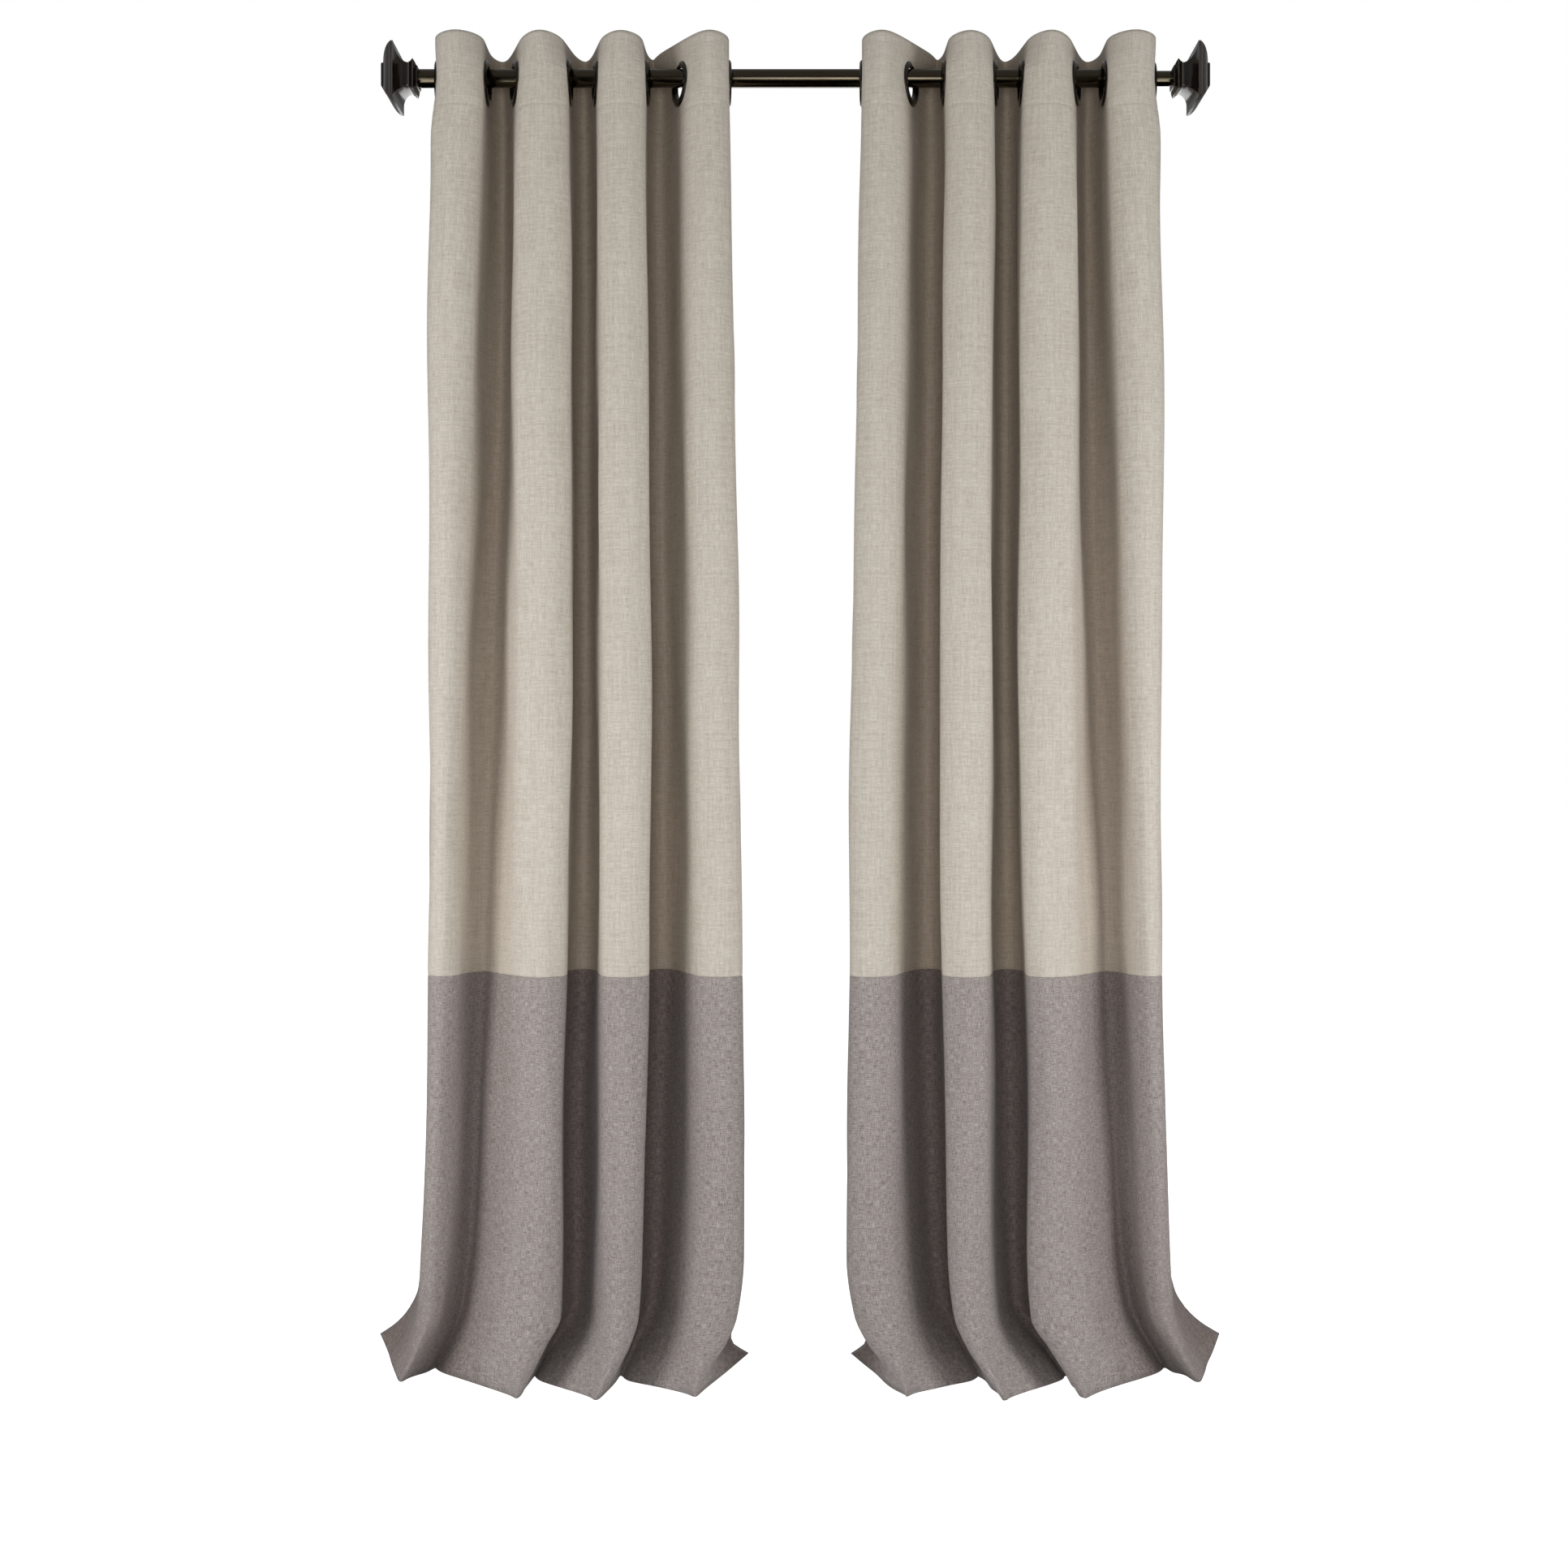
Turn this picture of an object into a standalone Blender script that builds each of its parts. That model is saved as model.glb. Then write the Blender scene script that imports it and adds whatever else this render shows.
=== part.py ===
"""A pair of eyelet curtains on a telescoping rod, held by two wall brackets.

Metres, +Z up, +X along the rod, +Y into the wall. The origin is the centre of the left wall
plate's back face, and the rod's axis lies level with it, ROD_STANDOFF in front of the wall.
"""

import math

import bmesh
import bpy
from mathutils import Matrix, Vector

# Rod
ROD_STANDOFF = 0.115
ROD_OVERHANG = 0.068
OUTER_TUBE_RADIUS = 0.014
TUBE_WALL = 0.0012
TELESCOPE_GAP = 0.0013
MOUTH_PAST_BRACKET = 0.016
MOUTH_LIP_LENGTH = 0.010
INNER_TUBE_FREE_RUN = 0.072
PLUG_LENGTH = 0.020
GUIDE_RIM_LENGTH = 0.004

# Finials, square in section
FINIAL_HALF = 0.0435
FINIAL_BOSS_HALF = 0.0185
FINIAL_NECK_HALF = 0.0192
FINIAL_DEPTH = 0.0436
FINIAL_HOLLOW_DEPTH = 0.0198
FINIAL_RIM_DEPTH = 0.0036
FINIAL_BOSS_DEPTH = 0.004
FINIAL_EDGE = 0.0008
COLLAR_HALF = 0.0234
COLLAR_DEPTH = 0.0129
COLLAR_STEP = 0.0035
COLLAR_STATIONS = (0.0025, 0.0052, 0.0066)
COLLAR_EDGE = 0.001
STUD_RADIUS = 0.003
STUD_IN_HEAD = 0.012

# Brackets
PLATE_WIDTH = 0.032
PLATE_HEIGHT = 0.078
PLATE_THICKNESS = 0.004
SCREW_SPACING = 0.054
SCREW_RADIUS = 0.002
SCREW_HEAD_RADIUS = 0.004
SCREW_HEAD_HEIGHT = 0.0024
SCREW_IN_WALL = 0.030
PLATE_CORNER = 0.006
ARM_RADIUS = 0.006
ARM_FLANGE_RADIUS = 0.011
ARM_FLANGE_DEPTH = 0.003
CRADLE_WIDTH = 0.014
CRADLE_WALL = 0.0036
CRADLE_BOSS_RADIUS = 0.0052
CRADLE_BOSS_HEIGHT = 0.007
CRADLE_LIP_DEG = 35
CRADLE_SWEEP_DEG = 215
THUMB_SCREW_RADIUS = 0.002
THUMB_HEAD_RADIUS = 0.008
THUMB_HEAD_HEIGHT = 0.007
THUMB_HEAD_DROP = 0.004
THUMB_HEAD_EDGE = 0.001

# Grommets: a front ring with a neck through the cloth, and a back ring snapped round the neck
RING_BORE_RADIUS = 0.023
RING_NECK_WALL = 0.003
RING_FLANGE_WIDTH = 0.012
RING_FLANGE_THICKNESS = 0.0032
RING_RIM_SLOPE = 0.002
RING_FLAT_MARGIN = 0.001
FOLD_WIDTHS = (0.076, 0.085, 0.080, 0.0755)
VALLEY_WIDTHS = (0.045, 0.0425, 0.053)
INNER_GROMMET_OFFSET = 0.106
FOLD_LEAN_DEG = (6, 1, 18, 2, 11, 1, 22, 4)

# Cloth panels
CLOTH_THICKNESS = 0.0016
PANEL_TOP = 0.052
PANEL_DROP = 2.104
BAND_DROP = 0.641
HEADER_STRAIGHT = 0.075
CREST_REACH = 0.030
VALLEY_REACH = 0.046
OUTER_EDGE_REACH = 0.044
INNER_EDGE_REACH = 0.044
BREAK_HEIGHT = 0.32
CORNER_LIFT = 0.035
HOLE_REACH = 0.006

# Gaps, and how far a cutter runs past the face it starts from
CLEARANCE = 0.0003
SLIDE_CLEARANCE = 0.0003
OVERRUN = 0.01

RING_SIDES = 14
ROUND_SIDES = 24
SMALL_SIDES = 12
CRADLE_STEPS = 21
CURVE_STEPS = 5

BRONZE = ((0.030, 0.022, 0.016), 0.30, 1.0)
DARK_BRONZE = ((0.012, 0.009, 0.007), 0.25, 1.0)
DARK_PLASTIC = ((0.016, 0.012, 0.010), 0.35, 0.0)
STEEL = ((0.55, 0.55, 0.55), 0.35, 1.0)
NATURAL_CLOTH = ((0.56, 0.53, 0.47), 0.90, 0.0)
TAUPE_CLOTH = ((0.27, 0.24, 0.23), 0.90, 0.0)


def grommet_offsets():
    """Distances of a panel's grommets from the middle of the rod, the outermost first."""
    offsets = [INNER_GROMMET_OFFSET]
    gaps = [FOLD_WIDTHS[3], VALLEY_WIDTHS[2], FOLD_WIDTHS[2], VALLEY_WIDTHS[1]]
    gaps += [FOLD_WIDTHS[1], VALLEY_WIDTHS[0], FOLD_WIDTHS[0]]
    for gap in gaps:
        offsets.append(offsets[-1] + gap)
    return offsets[::-1]


GROMMETS = grommet_offsets()
BRACKET_OFFSET = (GROMMETS[0] + GROMMETS[1]) / 2
BRACKET_SPACING = 2 * BRACKET_OFFSET
MIDDLE = BRACKET_OFFSET
ROD_Y = -ROD_STANDOFF
LEFT_END = -ROD_OVERHANG
RIGHT_END = BRACKET_SPACING + ROD_OVERHANG
MOUTH = BRACKET_SPACING + MOUTH_PAST_BRACKET
INNER_TUBE_START = LEFT_END + PLUG_LENGTH + INNER_TUBE_FREE_RUN
OUTER_BORE = OUTER_TUBE_RADIUS - TUBE_WALL
INNER_TUBE_RADIUS = OUTER_BORE - TELESCOPE_GAP
INNER_BORE = INNER_TUBE_RADIUS - TUBE_WALL
RING_OUTER_RADIUS = RING_BORE_RADIUS + RING_FLANGE_WIDTH
NECK_RADIUS = RING_BORE_RADIUS + RING_NECK_WALL
FLAT_HALF = RING_OUTER_RADIUS + RING_FLAT_MARGIN
FLOOR = PANEL_TOP - PANEL_DROP

# Hem on the floor, from the outer edge to the inner: outward shift from the column above it,
# and distance in front of the rod. The crests and valleys alternate between the two edges.
HEM_SHIFTS = (0.104, 0.099, 0.117, 0.028, 0.089, 0.032, 0.082, 0.009, -0.040)
HEM_DEPTHS = (-0.084, 0.008, -0.050, 0.085, -0.056, 0.092, -0.056, 0.077, -0.093)


def clear_scene():
    for obj in list(bpy.data.objects):
        bpy.data.objects.remove(obj, do_unlink=True)


def material(name, finish):
    colour, roughness, metallic = finish
    made = bpy.data.materials.new(name)
    made.use_nodes = True
    shader = made.node_tree.nodes["Principled BSDF"]
    shader.inputs["Base Color"].default_value = (*colour, 1)
    shader.inputs["Roughness"].default_value = roughness
    shader.inputs["Metallic"].default_value = metallic
    return made


def object_from(bm, name, finish):
    mesh = bpy.data.meshes.new(name)
    bmesh.ops.recalc_face_normals(bm, faces=bm.faces)
    bm.to_mesh(mesh)
    bm.free()
    mesh.shade_smooth()
    mesh.set_sharp_from_angle(angle=math.radians(35))
    obj = bpy.data.objects.new(name, mesh)
    bpy.context.scene.collection.objects.link(obj)
    if finish:
        mesh.materials.append(material(name, finish))
    return obj


def turned(name, profile, finish, sides=ROUND_SIDES):
    """A closed outline of (radius, height) points turned about local Z, half a facet off X."""
    bm = bmesh.new()
    half_facet = Matrix.Rotation(math.pi / sides, 4, "Z")
    corners = [bm.verts.new(half_facet @ Vector((r, 0, h))) for r, h in profile]
    edges = [bm.edges.new(pair) for pair in zip(corners, corners[1:])]
    if profile[0][0] > 0:
        edges.append(bm.edges.new((corners[-1], corners[0])))
    spin = {"cent": (0, 0, 0), "axis": (0, 0, 1), "angle": 2 * math.pi, "steps": sides}
    bmesh.ops.spin(bm, geom=corners + edges, use_merge=True, **spin)
    bmesh.ops.remove_doubles(bm, verts=bm.verts, dist=1e-6)
    return object_from(bm, name, finish)


def rod_profile(radius, low, high):
    return [(0, low), (radius, low), (radius, high), (0, high)]


def loft(name, stations, finish, sides=4):
    """Square (or sides-sided) sections at (height, half width) along local Z, joined and capped."""
    bm = bmesh.new()
    corner = 1 / math.cos(math.pi / sides)
    rings = []
    for height, half in stations:
        turn = Matrix.Rotation(math.pi / sides, 4, "Z")
        where = Matrix.Translation((0, 0, height)) @ turn
        made = bmesh.ops.create_circle(bm, segments=sides, radius=half * corner, matrix=where)
        rings.append(list({edge for vert in made["verts"] for edge in vert.link_edges}))
    for first, second in zip(rings, rings[1:]):
        bmesh.ops.bridge_loops(bm, edges=first + second)
    bmesh.ops.holes_fill(bm, edges=rings[0] + rings[-1])
    return object_from(bm, name, finish)


def place(obj, where, direction=(0, 0, 1)):
    """Puts the object's origin at a point, with its local Z along the direction."""
    turn = Vector(direction).to_track_quat("Z", "Y").to_matrix().to_4x4()
    obj.matrix_world = Matrix.Translation(where) @ turn
    return obj


def cut(obj, *cutters):
    for cutter in cutters:
        cutter.hide_render = True
        cutter.display_type = "WIRE"
        modifier = obj.modifiers.new(cutter.name, "BOOLEAN")
        modifier.operation = "DIFFERENCE"
        modifier.object = cutter


def drill(obj, radius, low, high, where, direction=(0, 0, 1), sides=SMALL_SIDES):
    cutter = turned(obj.name + "_drill", rod_profile(radius, low, high), None, sides)
    cut(obj, place(cutter, where, direction))


# Rod


def outer_tube():
    length = MOUTH - LEFT_END
    lip_bore = INNER_TUBE_RADIUS + SLIDE_CLEARANCE
    profile = [
        (OUTER_BORE, 0),
        (OUTER_TUBE_RADIUS, 0),
        (OUTER_TUBE_RADIUS, length - TUBE_WALL),
        (OUTER_TUBE_RADIUS - TUBE_WALL, length),
        (lip_bore, length),
        (lip_bore, length - MOUTH_LIP_LENGTH),
        (OUTER_BORE, length - MOUTH_LIP_LENGTH - TUBE_WALL),
    ]
    place(turned("rod_outer_tube", profile, BRONZE), (LEFT_END, ROD_Y, 0), (1, 0, 0))


def inner_tube():
    length = RIGHT_END - INNER_TUBE_START
    profile = [(INNER_BORE, 0), (INNER_TUBE_RADIUS, 0)]
    profile += [(INNER_TUBE_RADIUS, length), (INNER_BORE, length)]
    tube = turned("rod_inner_tube", profile, BRONZE)
    place(tube, (INNER_TUBE_START, ROD_Y, 0), (1, 0, 0))
    stem = INNER_BORE - CLEARANCE
    rim = OUTER_BORE - SLIDE_CLEARANCE
    plug = [(0, -GUIDE_RIM_LENGTH), (rim, -GUIDE_RIM_LENGTH), (rim, -CLEARANCE), (stem, -CLEARANCE)]
    plug += [(stem, PLUG_LENGTH), (0, PLUG_LENGTH)]
    guide = turned("rod_inner_tube_guide_plug", plug, DARK_PLASTIC)
    place(guide, (INNER_TUBE_START, ROD_Y, 0), (1, 0, 0))


def end_plug(name, end, bore, outward):
    """The threaded insert in a tube's end that a finial screws on to."""
    outer = bore - CLEARANCE
    hole = STUD_RADIUS + CLEARANCE
    profile = [(hole, -PLUG_LENGTH), (outer, -PLUG_LENGTH), (outer, 0), (hole, 0)]
    place(turned(name, profile, STEEL), (end, ROD_Y, 0), outward)


def finial_sections():
    """(distance from the collar, half width): a hollow back, a rim, a domed front, a boss."""
    rise = FINIAL_HALF - FINIAL_NECK_HALF
    sections = []
    for step in range(CURVE_STEPS + 1):
        angle = math.radians(90 * step / CURVE_STEPS)
        half = FINIAL_HALF - rise * math.cos(angle)
        sections.append((FINIAL_HOLLOW_DEPTH * math.sin(angle), half))
    rim_end = FINIAL_HOLLOW_DEPTH + FINIAL_RIM_DEPTH
    sections.append((rim_end, FINIAL_HALF))
    dome_start = rim_end + FINIAL_EDGE
    boss_start = FINIAL_DEPTH - FINIAL_BOSS_DEPTH
    boss_foot = FINIAL_BOSS_HALF + FINIAL_EDGE
    first = math.radians(20)
    for step in range(1, 5):
        angle = first + math.radians(55) * step / 4
        along = (math.sin(angle) - math.sin(first)) / (1 - math.sin(first))
        half = boss_foot + (FINIAL_HALF - boss_foot) * math.cos(angle) / math.cos(first)
        sections.append((dome_start + (boss_start - dome_start) * along, half))
    sections.append((boss_start, boss_foot))
    sections.append((boss_start + FINIAL_EDGE, FINIAL_BOSS_HALF))
    sections.append((FINIAL_DEPTH, FINIAL_BOSS_HALF - FINIAL_EDGE))
    return sections


def finial(side, end, outward):
    """Collar, head and stud beyond a tube's end. outward is the unit vector away from the tube."""
    away = Vector(outward)
    tube_end = Vector((end, ROD_Y, 0))
    seat = tube_end + away * CLEARANCE
    halves = (OUTER_TUBE_RADIUS + COLLAR_STEP, COLLAR_HALF - COLLAR_EDGE, COLLAR_HALF)
    collar_sections = [(0, OUTER_TUBE_RADIUS), *zip(COLLAR_STATIONS, halves)]
    collar_sections.append((COLLAR_DEPTH, FINIAL_NECK_HALF))
    collar = loft(f"finial_{side}_collar", collar_sections, DARK_BRONZE)
    place(collar, seat, outward)
    hole = STUD_RADIUS + CLEARANCE
    drill(collar, hole, -OVERRUN, COLLAR_DEPTH + OVERRUN, seat, outward)
    head_seat = seat + away * (COLLAR_DEPTH + CLEARANCE)
    head = place(loft(f"finial_{side}_head", finial_sections(), DARK_BRONZE), head_seat, outward)
    drill(head, hole, -OVERRUN, STUD_IN_HEAD + CLEARANCE, head_seat, outward)
    stud_reach = COLLAR_DEPTH + STUD_IN_HEAD + CLEARANCE
    stud_profile = rod_profile(STUD_RADIUS, -PLUG_LENGTH, stud_reach)
    stud = turned(f"finial_{side}_stud", stud_profile, STEEL, SMALL_SIDES)
    place(stud, seat, outward)


# Brackets


def wall_plate(side, x):
    bm = bmesh.new()
    size = Matrix.Diagonal((PLATE_WIDTH, PLATE_THICKNESS, PLATE_HEIGHT, 1))
    bmesh.ops.create_cube(bm, size=1, matrix=Matrix.Translation((0, -PLATE_THICKNESS / 2, 0)) @ size)
    upright = [e for e in bm.edges if abs((e.verts[0].co - e.verts[1].co).y) > PLATE_THICKNESS / 2]
    bmesh.ops.bevel(
        bm, geom=upright, offset=PLATE_CORNER, segments=3, profile=0.5, affect="EDGES", material=-1
    )
    plate = object_from(bm, f"bracket_{side}_wall_plate", BRONZE)
    plate.location = (x, 0, 0)
    for which, height in (("top", SCREW_SPACING / 2), ("bottom", -SCREW_SPACING / 2)):
        hole = SCREW_RADIUS + CLEARANCE
        drill(plate, hole, -OVERRUN, PLATE_THICKNESS + OVERRUN, (x, 0, height), (0, -1, 0))
        front = PLATE_THICKNESS + CLEARANCE
        profile = [(0, -SCREW_IN_WALL), (SCREW_RADIUS, -SCREW_IN_WALL + SCREW_RADIUS)]
        profile += [(SCREW_RADIUS, front), (SCREW_HEAD_RADIUS, front)]
        profile += [(0.7 * SCREW_HEAD_RADIUS, front + SCREW_HEAD_HEIGHT)]
        profile += [(0, front + SCREW_HEAD_HEIGHT)]
        screw = turned(f"bracket_{side}_wall_screw_{which}", profile, STEEL, SMALL_SIDES)
        place(screw, (x, 0, height), (0, -1, 0))


def arm(side, x):
    start = PLATE_THICKNESS + CLEARANCE
    end = ROD_STANDOFF - cradle_radius() - CLEARANCE
    flange_end = start + ARM_FLANGE_DEPTH
    profile = [(0, start), (ARM_FLANGE_RADIUS, start), (ARM_FLANGE_RADIUS, flange_end)]
    profile += [(ARM_RADIUS, flange_end + ARM_FLANGE_DEPTH), (ARM_RADIUS, end), (0, end)]
    place(turned(f"bracket_{side}_arm", profile, BRONZE, SMALL_SIDES), (x, 0, 0), (0, -1, 0))


def cradle_radius():
    return OUTER_TUBE_RADIUS + CLEARANCE + CRADLE_WALL


def cradle(side, x):
    """A hook under the rod, open at the top, with a threaded boss beneath for the thumb screw."""
    inner = OUTER_TUBE_RADIUS + CLEARANCE
    bm = bmesh.new()
    start_angle = math.radians(CRADLE_LIP_DEG)
    sweep = -math.radians(CRADLE_SWEEP_DEG)
    out = Vector((0, math.cos(start_angle), math.sin(start_angle)))
    half = Vector((CRADLE_WIDTH / 2, 0, 0))
    half_step = -sweep / CRADLE_STEPS / 2
    near, far = out * inner / math.cos(half_step), out * cradle_radius()
    section = bm.faces.new([bm.verts.new(p) for p in (near - half, near + half, far + half, far - half)])
    geometry = [section, *section.edges, *section.verts]
    bmesh.ops.spin(bm, geom=geometry, cent=(0, 0, 0), axis=(1, 0, 0), angle=sweep, steps=CRADLE_STEPS)
    hook = object_from(bm, f"bracket_{side}_cradle", BRONZE)
    hook.location = (x, ROD_Y, 0)
    top = -cradle_radius() + CRADLE_WALL / 2
    bottom = -cradle_radius() - CRADLE_BOSS_HEIGHT
    boss_profile = rod_profile(CRADLE_BOSS_RADIUS, bottom, top)
    boss = turned(f"bracket_{side}_cradle_boss", boss_profile, None, SMALL_SIDES)
    place(boss, (x, ROD_Y, 0))
    boss.hide_render = True
    boss.display_type = "WIRE"
    joined = hook.modifiers.new("boss", "BOOLEAN")
    joined.operation = "UNION"
    joined.object = boss
    drill(hook, THUMB_SCREW_RADIUS + CLEARANCE, bottom - OVERRUN, -inner / 2, (x, ROD_Y, 0))
    thumb_screw(side, x, bottom)


def thumb_screw(side, x, boss_bottom):
    """Pinches the rod from below. Its round head sits under the cradle's boss."""
    head_top = boss_bottom - THUMB_HEAD_DROP
    head_low = head_top - THUMB_HEAD_HEIGHT
    tip = -OUTER_TUBE_RADIUS - CLEARANCE
    edge = THUMB_HEAD_EDGE
    profile = [(0, head_low), (THUMB_HEAD_RADIUS - edge, head_low)]
    profile += [(THUMB_HEAD_RADIUS, head_low + edge), (THUMB_HEAD_RADIUS, head_top - edge)]
    profile += [(THUMB_HEAD_RADIUS - edge, head_top), (THUMB_SCREW_RADIUS, head_top)]
    profile += [(THUMB_SCREW_RADIUS, tip), (0, tip)]
    place(turned(f"bracket_{side}_thumb_screw", profile, DARK_BRONZE, SMALL_SIDES), (x, ROD_Y, 0))


# Grommets


def hang_height(tube_radius):
    """A ring's centre, when its bore hangs on the top of the tube."""
    return tube_radius + CLEARANCE - RING_BORE_RADIUS * math.cos(math.pi / RING_SIDES)


def grommet_places(side):
    """Each grommet's centre and its axis, the outermost first."""
    sign = -1 if side == "left" else 1
    places = []
    for offset, lean in zip(GROMMETS, FOLD_LEAN_DEG):
        x = MIDDLE + sign * offset
        radius = INNER_TUBE_RADIUS if x > MOUTH else OUTER_TUBE_RADIUS
        angle = -sign * math.radians(lean)
        axis = Vector((math.cos(angle), math.sin(angle), 0))
        places.append((Vector((x, ROD_Y, hang_height(radius))), axis))
    return places


def grommets(side):
    face = CLOTH_THICKNESS / 2 + CLEARANCE
    crown = face + RING_FLANGE_THICKNESS
    back_inner = NECK_RADIUS + CLEARANCE
    front = [
        (RING_BORE_RADIUS, -crown),
        (NECK_RADIUS, -crown),
        (NECK_RADIUS, face),
        (RING_OUTER_RADIUS, face),
        (RING_OUTER_RADIUS - RING_RIM_SLOPE, crown),
        (RING_BORE_RADIUS, crown),
    ]
    back = [
        (back_inner, -crown),
        (RING_OUTER_RADIUS - RING_RIM_SLOPE, -crown),
        (RING_OUTER_RADIUS, -face),
        (back_inner, -face),
    ]
    sign = -1 if side == "left" else 1
    for number, (centre, axis) in enumerate(grommet_places(side), 1):
        # The front ring is on the cloth's outer face: leftwards where the cloth comes forward.
        outer_face = -1 if number % 2 else 1
        direction = axis * outer_face * -sign
        name = f"grommet_{side}_{number}"
        place(turned(name + "_front_ring", front, DARK_PLASTIC, RING_SIDES), centre, direction)
        place(turned(name + "_back_ring", back, DARK_PLASTIC, RING_SIDES), centre, direction)


# Cloth


def bezier(points, t):
    a, b, c, d = points
    u = 1 - t
    return a * u**3 + b * 3 * u * u * t + c * 3 * u * t * t + d * t**3


def header_plan(side):
    """The cloth's plan line through the grommets, outer edge first.

    Every point comes with its fold position: whole numbers are the crests and valleys, from 0 at
    the outer edge to 8 at the inner edge.
    """
    flats = []
    sign = -1 if side == "left" else 1
    for number, (offset, lean) in enumerate(zip(GROMMETS, FOLD_LEAN_DEG)):
        middle = Vector((MIDDLE + sign * offset, ROD_Y))
        angle = -sign * math.radians(lean)
        forward = Vector((math.sin(angle), -math.cos(angle)))
        along = forward if number % 2 == 0 else -forward
        flats.append((middle - along * FLAT_HALF, middle + along * FLAT_HALF, along))
    first, last = flats[0], flats[-1]
    plan = [(first[0] - first[2] * OUTER_EDGE_REACH, 0.0)]
    plan.append((first[0] - first[2] * OUTER_EDGE_REACH / 2, 0.15))
    for number, (start, end, along) in enumerate(flats):
        plan += [(start, number + 0.3), (end, number + 0.7)]
        if number == 7:
            break
        next_start, _, next_along = flats[number + 1]
        reach = CREST_REACH if number % 2 == 0 else VALLEY_REACH
        handles = (end, end + along * reach, next_start - next_along * reach, next_start)
        for step in range(1, CURVE_STEPS + 1):
            t = step / (CURVE_STEPS + 1)
            plan.append((bezier(handles, t), number + 0.7 + 0.6 * t))
    plan.append((last[1] + last[2] * INNER_EDGE_REACH / 2, 7.85))
    plan.append((last[1] + last[2] * INNER_EDGE_REACH, 8.0))
    return plan


def between(values, position):
    """Eases from one key value to the next, level at the crests and valleys."""
    low = min(int(position), len(values) - 2)
    t = position - low
    ease = t * t * (3 - 2 * t)
    return values[low] + (values[low + 1] - values[low]) * ease


def hem_weight(height):
    """How far the cloth has left its hanging plan for its plan on the floor."""
    return max(0.0, 1 - height / BREAK_HEIGHT) ** 3


def panel_rows(side):
    """Heights of the mesh rows above the floor, for the upper cloth and for the lower band."""
    header_low = PANEL_TOP - RING_OUTER_RADIUS - HEADER_STRAIGHT - FLOOR
    upper = [PANEL_DROP, header_low, 0.72 * header_low, 0.5 * header_low, BAND_DROP + CLEARANCE / 2]
    shares = (1, 0.72, 0.48, 0.28, 0.12, 0)
    lower = [BAND_DROP - CLEARANCE / 2] + [share * BREAK_HEIGHT for share in shares]
    return upper, lower


def sheet(name, side, heights, finish):
    sign = -1 if side == "left" else 1
    plan = header_plan(side)
    columns = len(plan)
    rows = len(heights)
    bm = bmesh.new()
    bmesh.ops.create_grid(bm, x_segments=columns - 1, y_segments=rows - 1, size=1)
    bm.verts.ensure_lookup_table()
    for index, vert in enumerate(bm.verts):
        point, position = plan[index % columns]
        height = heights[index // columns]
        weight = hem_weight(height)
        edge = max(0.0, 1 - position, position - 7)
        shift = between(HEM_SHIFTS, position) * sign * weight
        depth = (ROD_Y - between(HEM_DEPTHS, position) - point.y) * weight
        lift = CORNER_LIFT * weight * edge**2
        vert.co = (point.x + shift, point.y + depth, FLOOR + height + lift)
    cloth = object_from(bm, name, finish)
    solid = cloth.modifiers.new("thickness", "SOLIDIFY")
    solid.thickness = CLOTH_THICKNESS
    solid.offset = 0
    return cloth


def panel(side):
    upper_rows, lower_rows = panel_rows(side)
    upper = sheet(f"panel_{side}_upper_cloth", side, upper_rows, NATURAL_CLOTH)
    sheet(f"panel_{side}_lower_band", side, lower_rows, TAUPE_CLOTH)
    for centre, axis in grommet_places(side):
        drill(upper, NECK_RADIUS + CLEARANCE, -HOLE_REACH, HOLE_REACH, centre, axis, RING_SIDES)


def main():
    clear_scene()
    outer_tube()
    inner_tube()
    end_plug("rod_left_end_plug", LEFT_END, OUTER_BORE, (-1, 0, 0))
    end_plug("rod_right_end_plug", RIGHT_END, INNER_BORE, (1, 0, 0))
    finial("left", LEFT_END, (-1, 0, 0))
    finial("right", RIGHT_END, (1, 0, 0))
    for side, x in (("left", 0), ("right", BRACKET_SPACING)):
        wall_plate(side, x)
        arm(side, x)
        cradle(side, x)
        grommets(side)
        panel(side)


main()
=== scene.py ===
import math

import bmesh
import bpy
import numpy as np
from mathutils import Matrix, Vector


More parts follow.
